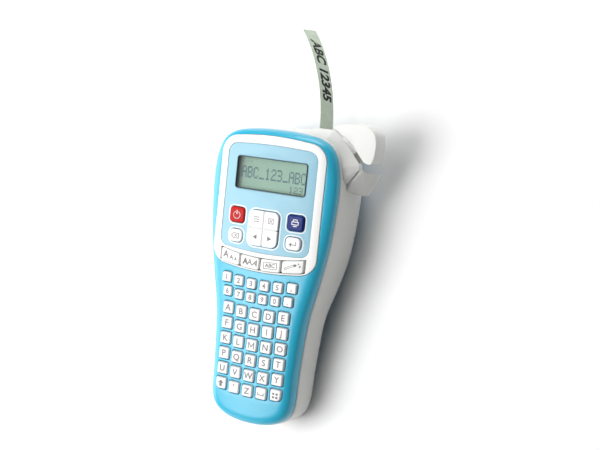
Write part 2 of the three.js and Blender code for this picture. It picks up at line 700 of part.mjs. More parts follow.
add('front_cover', 'blue', frontCover());
add('bezel_ring', 'white', bezelRing());
add('face_panel', 'panel', facePanel());
add('display_window', 'glass', box([-25.9, 27.1], [85.9, 107.3], [-3.4, -2.2]));
add('display_module', 'display', box([-29, 30], [81, 111], [-9.5, -6.2]));
add('rear_case', 'white', rearCase());
add('back_cover', 'blue', backCover());

for (const row of ROWS) add(row.name, 'key', keyRow(row));
FORMAT_KEYS.names.forEach((name, column) => add(name, 'key', formatKey(column)));
const headKeyColours = { power_key: 'red', print_key: 'navy', clear_key: 'key', enter_key: 'key' };
for (const key of ROUND_KEYS) add(key.name, headKeyColours[key.name], headKey(key));
add('nav_menu_key', 'key', navKey(-1, 1));
add('nav_escape_key', 'key', navKey(1, 1));
add('nav_left_key', 'key', navKey(-1, -1));
add('nav_right_key', 'key', navKey(1, -1));
add('key_mat', 'mat', keyMat());
add('main_board', 'board', prism(outline(7.2), -11.4, -9.9));

add('drive_motor', 'steel', driveMotor());
add('motor_pinion', 'gear', shaftedGear(PINION, 1.2, GEAR.bottom, GEAR.top + 0.2));
add('idler_gear', 'gear', shaftedGear(IDLER, 3, GEAR.bottom, -26));
add('cross_gear', 'gear', shaftedGear(CROSS_GEAR, 3, GEAR.bottom, -26));
add('platen_roller', 'rubber', platenRoller());
add('ribbon_drive_cam', 'gear', ribbonDriveCam());
add('roller_holder', 'steel', box([28.2, 31.4], [88, 101], [-50.6, -34.6]));
add('print_head', 'steel', box([14.4, 17.6], [88, 100], [-50.2, -34.6]));

add('cassette_base', 'smoke', cassetteBase());
add('cassette_lid', 'smoke', cassetteLid());
add('tape_spool', 'tape', spool(-21.4, 64.3, 14.5, 5));
add('ribbon_spool', 'rubber', spool(10, 66, 9, 4));
add('take_up_spool', 'gear', spool(CAM_GEAR.x, CAM_GEAR.y, 3.9, 2.7));
add('label_tape', 'tape', labelTape());

add('cutter_lever', 'white', cutterLever());
add('lever_pin', 'steel', leverPin());
add('lever_spring', 'steel', leverSpring());
add('cutter_blade', 'steel', box([12.4, 16.2], [101.2, 102.2], [-50.2, -36]));

const cellSpots = [-18.9, -29.7].flatMap((z) => [-11, 0, 11].map((x) => [x, z]));
cellSpots.forEach(([x, z], index) => add(`battery_${index + 1}`, 'cell', battery(x, z)));
add('power_socket', 'rubber', powerSocket());
SCREWS.forEach(([x, y], index) => add(`case_screw_${index + 1}`, 'steel', caseScrew(x, y)));
add('rubber_foot', 'rubber', rubberFoot());

device.rotation.x = radians(REST.lean);
device.position.set(0, -REST.y, -REST.z).applyAxisAngle(new THREE.Vector3(1, 0, 0), radians(REST.lean));

const group = new THREE.Group();
group.add(device);

export default group;
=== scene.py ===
"""Looks of the hand-held label maker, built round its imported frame.

Shapes are laid out in the device's own axes, in millimetres: x to the right of the keys, y up the
face towards the tape exit, z out of the face, with zero on the crown of the face at the first letter
row. DEVICE turns them into the frame, where the device lies on its back.
"""

import math

import bmesh
import bpy
from mathutils import Matrix, Vector
from mathutils.geometry import delaunay_2d_cdt


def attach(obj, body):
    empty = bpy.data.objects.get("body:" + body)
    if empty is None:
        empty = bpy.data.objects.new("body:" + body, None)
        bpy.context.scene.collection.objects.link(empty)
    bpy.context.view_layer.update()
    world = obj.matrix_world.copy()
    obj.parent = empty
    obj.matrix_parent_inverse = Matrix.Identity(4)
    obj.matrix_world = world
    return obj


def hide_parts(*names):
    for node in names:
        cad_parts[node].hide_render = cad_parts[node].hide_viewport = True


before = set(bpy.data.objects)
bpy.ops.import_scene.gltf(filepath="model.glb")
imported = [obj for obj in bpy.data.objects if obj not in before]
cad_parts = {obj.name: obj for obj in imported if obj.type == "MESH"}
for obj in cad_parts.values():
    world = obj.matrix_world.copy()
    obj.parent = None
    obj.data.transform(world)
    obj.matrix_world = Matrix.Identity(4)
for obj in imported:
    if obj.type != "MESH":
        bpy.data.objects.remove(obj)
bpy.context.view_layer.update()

# ------------------------------------------------------------------ driving dimensions

MM = 0.001
LEAN = math.radians(9.3)
REST_POINT = Vector((0, 38, -56.34))
DEVICE = Matrix.Rotation(LEAN, 4, "X") @ Matrix.Scale(MM, 4) @ Matrix.Translation(-REST_POINT)

# Body: the crown of the face, the parting of cover and case, and the right half of the outline.
CROWN_RADIUS = 205
PARTING_Z = -11.5
GAP = 0.3
WALL = 2
RIGHT_EDGE = [
    (0, -79), (16, -77.2), (27, -71.5), (32, -61), (33, -36), (35.4, -3), (40.6, 24),
    (45.4, 50), (48, 80), (47.6, 102), (43, 117), (33, 124.8), (16, 127.6), (0, 128.2),
]
SPAN_STEPS = 24
EDGE_STEPS = 90
SPINE = (-45, 85)

# Back of the head and of the handle, the lip of the back cover, and the plates inside the case.
HEAD_BACK_Z = -57.5
HEAD_LIP_Z = -52
HANDLE_BACK_Z = -38.5
HANDLE_BACK_Y = -50
HANDLE_SLOPE = -0.05
SHOULDER = (-8, 42)
FLOOR_TOP = -12
FLOOR_BOTTOM = -13.2
BAY_PLATE = {"y": 30, "top": -33, "bottom": -34.2}

# Small keys, and the web that joins the keys of a row under the cover.
KEY_PITCH = 10.85
ROW_SAG = 0.0026
WEB = (-5.4, -4.2)
KEY_PROUD = 1.6
KEY_CORNER = 1.2
END_CORNER = 3.4
LETTER_KEY = {"width": 8.4, "height": 8.3, "pitch": KEY_PITCH}

# Upper part of the face. Key places and the display lie on its plan.
RING_PROUD = 0.5
RING_LOWER_PART = 46
PANEL_PROUD = 0.2
RING = {"half": 40.3, "low": 29.8, "high": 123.8, "low_corner": 12, "high_corner": 13, "bow": 0.0026}
PANEL = {"half": 34.5, "low": 43, "high": 117.6, "low_corner": 6, "high_corner": 7, "bow": 0.0016}
DISPLAY = {"x": 0.6, "y": 96.6, "width": 54.4, "height": 22.8, "corner": 2}
DISPLAY_TRAY = {"x": (-29, 30), "y": (81, 111), "z": (-9.5, -7.2)}
DISPLAY_CELL = {"x": 0.6, "y": 96.2, "width": 57, "height": 27, "corner": 1}
GLASS = {"x": 0.6, "y": 96.6, "width": 53, "height": 21.4, "corner": 1}
DISPLAY_Z = -5.5
NAV_PAD = {"x": 0, "y": 60, "width": 22.4, "height": 24.4, "corner": 4}
NAV_SPLIT = 0.5
NAV_TOP = 1.7
NAV_FLOOR = 1.2
FORMAT_PITCH = 16.1
FORMAT_TOP = 39.4
FORMAT_BOW = 0.0032
FORMAT_PROUD = 1.2
INK_DEPTH = 0.06
INK_LIFT = 0.01

# Tape: it starts at the print head, twists between two places and curls beyond them.
TAPE = {"x": 18.4, "z": -43.5, "width": 12, "thickness": 0.5, "start": 88}
TAPE_TWIST = (102, 128)
CURL_RADIUS = 100
CURL_ANGLE = math.radians(46)
CURL_TWIST = math.radians(25)

# Cutter lever with its arm and pivot, gear shafts and power socket.
LEVER_FRONT = -20
LEVER_BACK = -37
LEVER_ARM = (-32.6, -27)
LEVER_PIVOT = (41, 110)
SHOULDER_FRONT = -13
SHAFTS = ((22.85, 93), (-12.086, 80.661))
SOCKET = {"y": 84, "z": -24}
ROUND_SIDES = 48
SHARP_DEGREES = 40

# ------------------------------------------------------------------ small helpers

QUADRANTS = ((1, 1), (-1, 1), (-1, -1), (1, -1))


def mix(a, b, t):
    return a + (b - a) * t


def clamp(value, low, high):
    return max(low, min(high, value))


def smooth(value, low, high):
    t = clamp((value - low) / (high - low), 0, 1)
    return t * t * (3 - 2 * t)


def crown(x):
    return -x * x / (2 * CROWN_RADIUS)


def above_crown(lift):
    return lambda x, y: crown(x) + lift


def flat(z):
    return lambda x, y: z


def back_mix(y):
    return smooth(y, *SHOULDER)


def handle_back(y):
    return HANDLE_BACK_Z + (y - HANDLE_BACK_Y) * HANDLE_SLOPE


def back_z(y):
    return mix(handle_back(y), HEAD_BACK_Z, back_mix(y))


def lip_z(y):
    return mix(handle_back(y) + 1, HEAD_LIP_Z, back_mix(y))


def rest_plane_z(y):
    """Height of the table under the leaning device."""
    return REST_POINT.z - (y - REST_POINT.y) * math.tan(LEAN)


def quarter_turn(steps):
    """Pairs of 1 - sine and 1 - cosine over a quarter of a turn, for fillets."""
    angles = [step / steps * math.pi / 2 for step in range(steps + 1)]
    return [(1 - math.sin(a), 1 - math.cos(a)) for a in angles]


def middle_of(loop):
    """Mean of a loop's points."""
    return sum(p[0] for p in loop) / len(loop), sum(p[1] for p in loop) / len(loop)


def arc(cx, cy, radius, start, end, steps):
    angles = [math.radians(mix(start, end, i / steps)) for i in range(steps + 1)]
    return [(cx + radius * math.cos(a), cy + radius * math.sin(a)) for a in angles]


def cornered_rectangle(x, y, width, height, corners, steps=5):
    """Rectangle with a radius for each corner, from the upper right one and counter-clockwise."""
    loop = []
    for index, ((sx, sy), corner) in enumerate(zip(QUADRANTS, corners)):
        cx = x + sx * (width / 2 - corner)
        cy = y + sy * (height / 2 - corner)
        loop += arc(cx, cy, corner, index * 90, index * 90 + 90, steps)
    return loop


def rounded_rectangle(x, y, width, height, corner, steps=5):
    return cornered_rectangle(x, y, width, height, [corner] * 4, steps)


def plan_loop(plan, grow=0.0):
    """Outline of a rounded plan with x, y, width, height and corner or corners, grown by `grow`."""
    corners = plan.get("corners") or [plan["corner"]] * 4
    return cornered_rectangle(
        plan["x"], plan["y"], plan["width"] + 2 * grow, plan["height"] + 2 * grow,
        [corner + grow for corner in corners])


def densify(loop, spacing):
    """Adds points to a loop's long segments."""
    dense = []
    for i, (x1, y1) in enumerate(loop):
        x2, y2 = loop[(i + 1) % len(loop)]
        count = max(1, round(math.hypot(x2 - x1, y2 - y1) / spacing))
        dense += [(mix(x1, x2, k / count), mix(y1, y2, k / count)) for k in range(count)]
    return dense


def bowed_frame(shape, grow=0, steps=10):
    """Frame outline with bowed lower and upper edges and round corners, grown by `grow`."""
    half = shape["half"] + grow
    low_corner = shape["low_corner"] + grow
    high_corner = shape["high_corner"] + grow
    low_reach, high_reach = half - low_corner, half - high_corner

    def low_edge(x):
        return shape["low"] - grow + shape["bow"] * x * x

    def high_edge(x):
        return shape["high"] + grow - shape["bow"] * x * x

    low = low_edge(low_reach) + low_corner
    high = high_edge(high_reach) - high_corner
    spread = [-1 + 2 * i / 9 for i in range(1, 9)]
    return (
        arc(low_reach, low, low_corner, 278, 360, steps)
        + arc(high_reach, high, high_corner, 0, 82, steps)
        + [(-t * high_reach, high_edge(t * high_reach)) for t in spread]
        + arc(-high_reach, high, high_corner, 98, 180, steps)
        + arc(-low_reach, low, low_corner, 180, 262, steps)
        + [(t * low_reach, low_edge(t * low_reach)) for t in spread]
    )


def offset(loop, distance):
    """Moves a counter-clockwise loop's points outwards."""
    moved = []
    for i, (x, y) in enumerate(loop):
        before, after = loop[i - 1], loop[(i + 1) % len(loop)]
        tangent = Vector((after[0] - before[0], after[1] - before[1])).normalized()
        moved.append((x + tangent.y * distance, y - tangent.x * distance))
    return moved


def inside(point, loop):
    x, y = point
    hit = False
    for i, (x1, y1) in enumerate(loop):
        x2, y2 = loop[i - 1]
        if (y1 > y) != (y2 > y) and x < (x2 - x1) * (y - y1) / (y2 - y1) + x1:
            hit = not hit
    return hit


def spline(points, steps):
    """Closed Catmull-Rom curve through the points, `steps` samples a span."""
    count = len(points)
    samples = []
    for i in range(count):
        p = [Vector(points[(i + k) % count]) for k in (-1, 0, 1, 2)]
        for k in range(steps):
            t = k / steps
            value = 0.5 * (
                2 * p[1] + (p[2] - p[0]) * t + (2 * p[0] - 5 * p[1] + 4 * p[2] - p[3]) * t * t
                + (3 * p[1] - p[0] - 3 * p[2] + p[3]) * t ** 3
            )
            samples.append(value)
    return samples


class Shape:
    """Vertices in device millimetres, with faces."""

    def __init__(self):
        self.verts = []
        self.faces = []

    def ring(self, points):
        start = len(self.verts)
        self.verts.extend(Vector(p) for p in points)
        return list(range(start, len(self.verts)))

    def bridge(self, low, high):
        size = len(low)
        for i in range(size):
            n = (i + 1) % size
            self.faces.append((low[i], low[n], high[n], high[i]))

    def fan(self, ring, point, up=True):
        middle = self.ring([point])[0]
        size = len(ring)
        for i in range(size):
            n = (i + 1) % size
            self.faces.append((ring[i], ring[n], middle) if up else (ring[n], ring[i], middle))

    def stack(self, rings):
        """Joins rings from low to high and returns their indices."""
        made = [self.ring(points) for points in rings]
        for low, high in zip(made, made[1:]):
            self.bridge(low, high)
        return made

    def add(self, other):
        start = len(self.verts)
        self.verts.extend(other.verts)
        self.faces.extend(tuple(i + start for i in face) for face in other.faces)
        return self


def mesh_object(name, shape, material, sharp=SHARP_DEGREES):
    """Mesh in the frame from a shape in device millimetres."""
    mesh = bpy.data.meshes.new(name)
    mesh.from_pydata([DEVICE @ v for v in shape.verts], [], shape.faces)
    mesh.materials.append(material)
    edit = bmesh.new()
    edit.from_mesh(mesh)
    bmesh.ops.remove_doubles(edit, verts=edit.verts, dist=2e-6)
    bmesh.ops.dissolve_degenerate(edit, edges=edit.edges, dist=1e-7)
    edit.to_mesh(mesh)
    edit.free()
    mesh.shade_smooth()
    mesh.set_sharp_from_angle(angle=math.radians(sharp))
    piece = bpy.data.objects.new(name, mesh)
    bpy.context.scene.collection.objects.link(piece)
    return piece


def settle(piece, body, replaces=()):
    """Hangs a piece on its body and hides the CAD nodes that it stands for."""
    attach(piece, body)
    if replaces:
        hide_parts(*replaces)


def place(name, shape, material, body, replaces=(), sharp=SHARP_DEGREES):
    settle(mesh_object(name, shape, material, sharp), body, replaces)


def boolean(piece, shape, operation):
    """Cuts or joins a closed shape, then drops the tool."""
    tool = mesh_object(piece.name + "_tool", shape, piece.data.materials[0])
    modifier = piece.modifiers.new("cut", "BOOLEAN")
    modifier.object = tool
    modifier.operation = operation
    modifier.solver = "EXACT"
    apply_modifiers(piece)
    bpy.data.objects.remove(tool)


def apply_modifiers(piece):
    graph = bpy.context.evaluated_depsgraph_get()
    mesh = bpy.data.meshes.new_from_object(piece.evaluated_get(graph))
    piece.modifiers.clear()
    piece.data = mesh
    mesh.shade_smooth()
    mesh.set_sharp_from_angle(angle=math.radians(SHARP_DEGREES))


# ------------------------------------------------------------------ body outline


def right_half():
    """Evenly spaced points and outward normals on the right half of the outline."""
    left = [(-x, y) for x, y in reversed(RIGHT_EDGE[1:-1])]
    curve = spline(RIGHT_EDGE + left, SPAN_STEPS)
    half = curve[: SPAN_STEPS * (len(RIGHT_EDGE) - 1) + 1]
    lengths = [0]
    for a, b in zip(half, half[1:]):
        lengths.append(lengths[-1] + (b - a).length)
    points = []
    index = 0
    for step in range(EDGE_STEPS + 1):
        target = lengths[-1] * step / EDGE_STEPS
        while index < len(lengths) - 2 and lengths[index + 1] < target:
            index += 1
        t = (target - lengths[index]) / (lengths[index + 1] - lengths[index])
        points.append(half[index].lerp(half[index + 1], t))
    points[0].x = points[-1].x = 0
    normals = []
    for i in range(len(points)):
        before = points[i - 1] if i else Vector((-points[1].x, points[1].y))
        after = points[i + 1] if i < EDGE_STEPS else Vector((-points[-2].x, points[-2].y))
        tangent = (after - before).normalized()
        normals.append(Vector((tangent.y, -tangent.x)))
    return list(zip(points, normals))


HALF = right_half()


def outline(inset=0.0):
    right = [p - n * inset for p, n in HALF]
    left = [Vector((-p.x, p.y)) for p in reversed(right[1:-1])]
    return [(p.x, p.y) for p in right + left]


def level(inset, height):
    """Ring of the body's outline; height is a function of x and y."""
    return [(x, y, height(x, y)) for x, y in outline(inset)]


def toward_spine(ring, height, share):
    moved = []
    for x, y, _ in ring:
        px = x * (1 - share)
        py = mix(y, clamp(y, *SPINE), share)
        moved.append((px, py, height(px, py)))
    return moved


# ------------------------------------------------------------------ materials


class Finish:
    """A material whose colour, roughness and relief come from noise in the piece's own space."""

    def __init__(self, name):
        self.material = bpy.data.materials.new(name)
        self.material.use_nodes = True
        self.tree = self.material.node_tree
        self.shader = self.tree.nodes["Principled BSDF"]
        self.coordinates = self.tree.nodes.new("ShaderNodeTexCoord")
        self.relief = None

    def node(self, kind, **values):
        made = self.tree.nodes.new(kind)
        for name, value in values.items():
            if hasattr(made, name):
                setattr(made, name, value)
            else:
                made.inputs[name.replace("_", " ")].default_value = value
        return made

    def link(self, output, target):
        self.tree.links.new(output, target)

    def set(self, **values):
        for name, value in values.items():
            self.shader.inputs[name.replace("_", " ")].default_value = value

    def noise(self, scale, detail=2.0):
        made = self.node("ShaderNodeTexNoise", Scale=scale, Detail=detail)
        self.link(self.coordinates.outputs["Object"], made.inputs["Vector"])
        return made.outputs["Fac"]

    def ramp(self, factor, stops):
        made = self.node("ShaderNodeValToRGB")
        elements = made.color_ramp.elements
        while len(elements) < len(stops):
            elements.new(0.5)
        for element, (position, colour) in zip(elements, stops):
            element.position = position
            element.color = colour
        self.link(factor, made.inputs["Fac"])
        return made.outputs["Color"]

    def spread(self, factor, low, high):
        """Maps the middle of a noise factor to a range of plain numbers."""
        made = self.node("ShaderNodeMapRange")
        made.inputs["From Min"].default_value = 0.3
        made.inputs["From Max"].default_value = 0.7
        made.inputs["To Min"].default_value = low
        made.inputs["To Max"].default_value = high
        self.link(factor, made.inputs["Value"])
        return made.outputs["Result"]

    def tint(self, factor, low, high, low_at=0.3, high_at=0.7):
        """Base colour between two tones."""
        self.link(self.ramp(factor, [(low_at, low), (high_at, high)]), self.shader.inputs["Base Color"])

    def roughen(self, factor, low, high):
        self.link(self.spread(factor, low, high), self.shader.inputs["Roughness"])

    def bricks(self, width, height, joint, shift, tones, joint_tone):
        """Brick pattern with the base colour of two tones and a third between them."""
        made = self.node("ShaderNodeTexBrick", Scale=1.0)
        made.offset = shift
        made.inputs["Brick Width"].default_value = width
        made.inputs["Row Height"].default_value = height
        made.inputs["Mortar Size"].default_value = joint
        made.inputs["Color1"].default_value = tones[0]
        made.inputs["Color2"].default_value = tones[1]
        made.inputs["Mortar"].default_value = joint_tone
        self.link(self.coordinates.outputs["Object"], made.inputs["Vector"])
        self.link(made.outputs["Color"], self.shader.inputs["Base Color"])
        return made.outputs["Fac"]

    def bump(self, factor, strength, distance):
        made = self.node("ShaderNodeBump", Strength=strength, Distance=distance)
        self.link(factor, made.inputs["Height"])
        if self.relief:
            self.link(self.relief, made.inputs["Normal"])
        self.relief = made.outputs["Normal"]
        self.link(self.relief, self.shader.inputs["Normal"])


def colour(red, green, blue):
    """Linear colour from eight-bit display values."""
    def linear(value):
        share = value / 255
        return share / 12.92 if share <= 0.04045 else ((share + 0.055) / 1.055) ** 2.4
    return (linear(red), linear(green), linear(blue), 1.0)


def shade(base, factor):
    return tuple(clamp(value * factor, 0, 1) for value in base[:3]) + (1.0,)


def moulded(name, base, roughness=0.4, grain=0.05, tone=0.04, gloss=0.5, wear=0.07):
    """Injection-moulded plastic: faint cloudiness, spark-eroded grain and uneven gloss."""
    finish = Finish(name)
    finish.tint(finish.noise(28, 3), shade(base, 1 - tone), shade(base, 1 + tone))
    finish.roughen(finish.noise(160, 4), roughness - wear, roughness + wear)
    finish.bump(finish.noise(2600, 2), grain, 0.0001)
    finish.set(Specular_IOR_Level=gloss)
    return finish.material


def printed(name, base, roughness=0.5, cover=0.15):
    """Pad-printed ink: slightly uneven cover."""
    finish = Finish(name)
    blotches = finish.noise(900, 4)
    finish.tint(blotches, shade(base, 1 - cover), shade(base, 1 + cover), 0.35, 0.75)
    finish.roughen(blotches, roughness - 0.08, roughness + 0.1)
    finish.bump(finish.noise(4000, 1), 0.08, 0.00005)
    return finish.material


def rubber(name, base):
    """Dull rubber with a little dust."""
    finish = Finish(name)
    dust = finish.noise(120, 5)
    finish.tint(dust, base, shade(base, 1.7), 0.35, 0.8)
    finish.roughen(dust, 0.72, 0.92)
    finish.bump(finish.noise(1500, 3), 0.35, 0.0002)
    return finish.material


def metal(name, base, roughness=0.3, brushed=True):
    """Drawn or stamped metal with fine scratches along one direction."""
    finish = Finish(name)
    stretch = finish.node("ShaderNodeMapping")
    stretch.inputs["Scale"].default_value = (60, 900, 900) if brushed else (600, 600, 600)
    finish.link(finish.coordinates.outputs["Object"], stretch.inputs["Vector"])
    scratches = finish.node("ShaderNodeTexNoise", Scale=1.0, Detail=6.0)
    finish.link(stretch.outputs["Vector"], scratches.inputs["Vector"])
    factor = scratches.outputs["Fac"]
    finish.tint(factor, shade(base, 0.82), shade(base, 1.1))
    finish.roughen(factor, roughness - 0.08, roughness + 0.15)
    finish.bump(factor, 0.12, 0.00005)
    finish.set(Metallic=1.0)
    return finish.material


def window_glass():
    """Clear moulded window: mostly see-through, with faint haze."""
    finish = Finish("window_glass")
    haze = finish.noise(90, 3)
    finish.roughen(haze, 0.18, 0.26)
    finish.tint(haze, colour(214, 232, 232), colour(232, 244, 240))
    finish.set(Alpha=0.06)
    return finish.material


def display_face():
    """Reflective display cell: grey green with a faint grid between the dots."""
    finish = Finish("display_face")
    tones = (colour(134, 170, 150), colour(130, 166, 146))
    finish.bricks(0.00112, 0.00112, 0.00007, 0.0, tones, colour(139, 175, 155))
    finish.roughen(finish.noise(300, 3), 0.5, 0.6)
    finish.set(Specular_IOR_Level=0.2)
    return finish.material


def circuit_board():
    """Solder mask with copper tracks showing through."""
    finish = Finish("circuit_board")
    tones = (colour(18, 92, 52), colour(14, 80, 46))
    tracks = finish.bricks(0.011, 0.0016, 0.00022, 0.5, tones, colour(44, 128, 74))
    finish.roughen(finish.noise(80, 3), 0.25, 0.4)
    finish.bump(tracks, 0.3, 0.00005)
    return finish.material


def laminated_tape():
    """Satin laminated label tape with a faint grain along it."""
    finish = Finish("laminated_tape")
    fibres = finish.noise(700, 6)
    finish.tint(fibres, colour(188, 204, 184), colour(202, 214, 197))
    finish.roughen(finish.noise(60, 2), 0.2, 0.34)
    finish.bump(fibres, 0.06, 0.00004)
    return finish.material


def cell_sleeve():
    """Printed sleeve of a cell: green with a lighter band."""
    finish = Finish("cell_sleeve")
    parts = finish.node("ShaderNodeSeparateXYZ")
    finish.link(finish.coordinates.outputs["Object"], parts.inputs["Vector"])
    length = finish.node("ShaderNodeMapRange")
    length.inputs["From Min"].default_value = -0.095
    length.inputs["From Max"].default_value = -0.050
    finish.link(parts.outputs["Y"], length.inputs["Value"])
    stops = [
        (0.0, colour(28, 96, 52)), (0.62, colour(32, 108, 58)),
        (0.66, colour(196, 204, 190)), (0.9, colour(210, 214, 204)),
    ]
    finish.link(finish.ramp(length.outputs["Result"], stops), finish.shader.inputs["Base Color"])
    finish.roughen(finish.noise(200, 3), 0.25, 0.4)
    return finish.material


COVER_BLUE = moulded("cover_blue", colour(46, 174, 206), 0.3, 0.02, 0.02, 0.65, 0.012)
BACK_BLUE = moulded("back_blue", colour(20, 134, 168), 0.36, 0.06, 0.04, 0.7)
PANEL_BLUE = moulded("panel_blue", colour(152, 198, 216), 0.42, 0.04, 0.015, 0.3)
CASE_WHITE = moulded("case_white", colour(226, 226, 222), 0.36, 0.05, 0.015, 0.4)
RING_WHITE = moulded("ring_white", colour(240, 240, 238), 0.34, 0.03, 0.01, 0.3, 0.02)
KEY_WHITE = moulded("key_white", colour(236, 235, 234), 0.42, 0.05, 0.01, 0.4)
KEY_RED = moulded("key_red", colour(190, 10, 8), 0.45, 0.05, 0.04, 0.18)
KEY_NAVY = moulded("key_navy", colour(10, 34, 112), 0.45, 0.05, 0.04, 0.25)
# Key mat in dark teal, chosen dark so the gaps round the keys show painted shade in the key wells.
KEY_MAT_PAINTED_SHADE = moulded("key_mat", colour(20, 84, 104), 0.7, 0.2, 0.04, 0.3)
GEAR_CREAM = moulded("gear_cream", colour(232, 226, 204), 0.45, 0.08)
CASSETTE_SMOKE = moulded("cassette_smoke", colour(58, 62, 66), 0.35, 0.1)
SOCKET_BLACK = moulded("socket_black", colour(26, 27, 29), 0.4, 0.1)
INK_GREY = printed("ink_grey", colour(112, 106, 108))
INK_BLACK = printed("ink_black", colour(20, 20, 22))
INK_WHITE = printed("ink_white", colour(244, 244, 244), 0.5, 0.03)
DISPLAY_INK = printed("display_ink", colour(0, 84, 92), 0.6)
DISPLAY_FAINT = printed("display_faint", colour(66, 104, 98), 0.6)
# Dark grey of the display gasket, partly the gasket's own colour and partly painted shade for the display
# recess walls.
GASKET_WITH_PAINTED_SHADE = moulded("gasket_painted_shade", colour(70, 86, 88), 0.6, 0.1)
RUBBER_BLACK = rubber("rubber_black", colour(30, 31, 33))
STEEL = metal("steel", colour(178, 180, 182))
BRASS = metal("brass", colour(206, 190, 150), 0.25, False)
WINDOW = window_glass()
DISPLAY_FACE = display_face()
BOARD = circuit_board()
TAPE_FACE = laminated_tape()
CELL = cell_sleeve()


# ------------------------------------------------------------------ crowned sheets


def nearest(point, loop):
    """Distance from a point to a closed loop of segments."""
    best = 1e9
    x, y = point
    for i, (x1, y1) in enumerate(loop):
        x2, y2 = loop[i - 1]
        dx, dy = x2 - x1, y2 - y1
        t = clamp(((x - x1) * dx + (y - y1) * dy) / max(dx * dx + dy * dy, 1e-12), 0, 1)
        best = min(best, math.hypot(x1 + t * dx - x, y1 + t * dy - y))
    return best


def grid_points(outer, holes, pitch, clearance):
    xs, ys = [p[0] for p in outer], [p[1] for p in outer]
    points = []
    x = min(xs) + pitch / 2
    while x < max(xs):
        y = min(ys) + pitch / 2
        while y < max(ys):
            if inside((x, y), outer) and not any(inside((x, y), hole) for hole in holes):
                if all(nearest((x, y), loop) > clearance for loop in [outer] + holes):
                    points.append((x, y))
            y += pitch
        x += pitch
    return points


def triangulate(outer, holes, extra):
    """Triangles between an outer loop and holes; indices run through outer, holes, then extra."""
    points, edges = [], []
    for loop in [outer] + holes:
        start = len(points)
        points.extend(loop)
        edges.extend((start + i, start + (i + 1) % len(loop)) for i in range(len(loop)))
    points.extend(extra)
    result = delaunay_2d_cdt([Vector(p) for p in points], edges, [], 0, 1e-5, True)
    source = [ids[0] for ids in result[3]]
    triangles = []
    for face in result[2]:
        centre = [sum(result[0][i][k] for i in face) / 3 for k in (0, 1)]
        if inside(centre, outer) and not any(inside(centre, hole) for hole in holes):
            triangles.append(tuple(source[i] for i in face))
    return points, triangles


def sheet(outer, holes, height, depth, fillet=0.4, extra=(), pitch=3.2, edge_fillet=True):
    """Sheet over a plan shape, with rounded edges round its holes and, if wanted, round its outside.

    Returns the shape and the index rings of its upper and lower outer boundary.
    """
    grown = [offset(hole, fillet) for hole in holes]
    rim = offset(outer, -fillet) if edge_fillet else outer
    extra = list(extra) or grid_points(rim, grown, pitch, pitch * 0.45)
    points, triangles = triangulate(rim, grown, extra)
    shape = Shape()
    top = shape.ring([(x, y, height(x, y)) for x, y in points])
    shape.faces.extend(tuple(top[i] for i in face) for face in triangles)
    walls = [point for loop in [outer if edge_fillet else rim] + holes for point in loop]
    walls += points[len(walls):]
    bottom = shape.ring([(x, y, height(x, y) - depth) for x, y in walls])
    shape.faces.extend(tuple(bottom[i] for i in reversed(face)) for face in triangles)

    def wall(start, loop, sign):
        size = len(loop)
        rings = [top[start:start + size]]
        for reach, drop in quarter_turn(4)[1:]:
            moved = offset(loop, sign * fillet * reach)
            rings.append(shape.ring([(x, y, height(x, y) - fillet * drop) for x, y in moved]))
        rings.append(bottom[start:start + size])
        for upper, lower in zip(rings, rings[1:]):
            if sign > 0:
                shape.bridge(upper, lower)
            else:
                shape.bridge(lower, upper)

    start = len(rim)
    if edge_fillet:
        wall(0, outer, -1)
    for hole in holes:
        wall(start, hole, 1)
        start += len(hole)
    return shape, top[:len(rim)], bottom[:len(rim)]


# ------------------------------------------------------------------ keys and their places

LETTER_LEGENDS = ("ABCDE", "FGHIJ", "KLMNO", "PQRST", "UVWXY", "^'Z_#")
ROWS = [
    {"y": 20.8, "width": 7.4, "height": 7.0, "pitch": 10.2, "legends": "12345,"},
    {"y": 11.3, "width": 7.0, "height": 6.7, "pitch": 9.5, "legends": "67890."},
]
ROWS += [
    {"y": -KEY_PITCH * line, **LETTER_KEY, "legends": legends}
    for line, legends in enumerate(LETTER_LEGENDS)
]
ROUND_KEYS = [
    {"name": "power_key", "x": -22, "y": 66.9, "width": 11.6, "height": 10.6, "corner": 2.2},
    {"name": "print_key", "x": 23.4, "y": 67.2, "width": 11.8, "height": 10.6, "corner": 2.2},
    {"name": "clear_key", "x": -21.6, "y": 52.4, "width": 10.4, "height": 8.8, "corner": 3},
    {"name": "enter_key", "x": 23, "y": 53, "width": 11.2, "height": 8.8, "corner": 3},
]


def row_line(row, x):
    """Height on the face of a row's middle line, which sags towards its middle."""
    return row["y"] + ROW_SAG * x * x


def row_keys(row):
    keys = []
    last = len(row["legends"]) - 1
    for column in range(last + 1):
        x = (column - last / 2) * row["pitch"]
        corners = [KEY_CORNER] * 4
        if row is ROWS[-1] and column == 0:
            corners[2] = END_CORNER
        if row is ROWS[-1] and column == last:
            corners[3] = END_CORNER
        size = {"width": row["width"], "height": row["height"], "corners": corners}
        keys.append({"x": x, "y": row_line(row, x), **size})
    return keys


def keycap(loop, bottom, top, fillet=0.7, dome=0.12, taper=0.0):
    """Key with drafted sides, a rounded shoulder and a slightly domed top, closed underneath."""
    shape = Shape()
    cx, cy = middle_of(loop)
    rings = [[(x, y, bottom) for x, y in loop], [(x, y, top - 2 * fillet - dome) for x, y in loop]]
    for drop, reach in quarter_turn(6):
        moved = offset(loop, -taper - fillet * reach)
        rings.append([(x, y, top - dome - fillet * drop) for x, y in moved])
    last = rings[-1]
    for share in (0.12, 0.35, 0.65, 0.88):
        rise = dome * (1 - (1 - share) ** 2)
        rings.append([(mix(x, cx, share), mix(y, cy, share), z + rise) for x, y, z in last])
    made = shape.stack(rings)
    shape.fan(made[-1], (cx, cy, top))
    shape.fan(made[0], (cx, cy, bottom), up=False)
    return shape


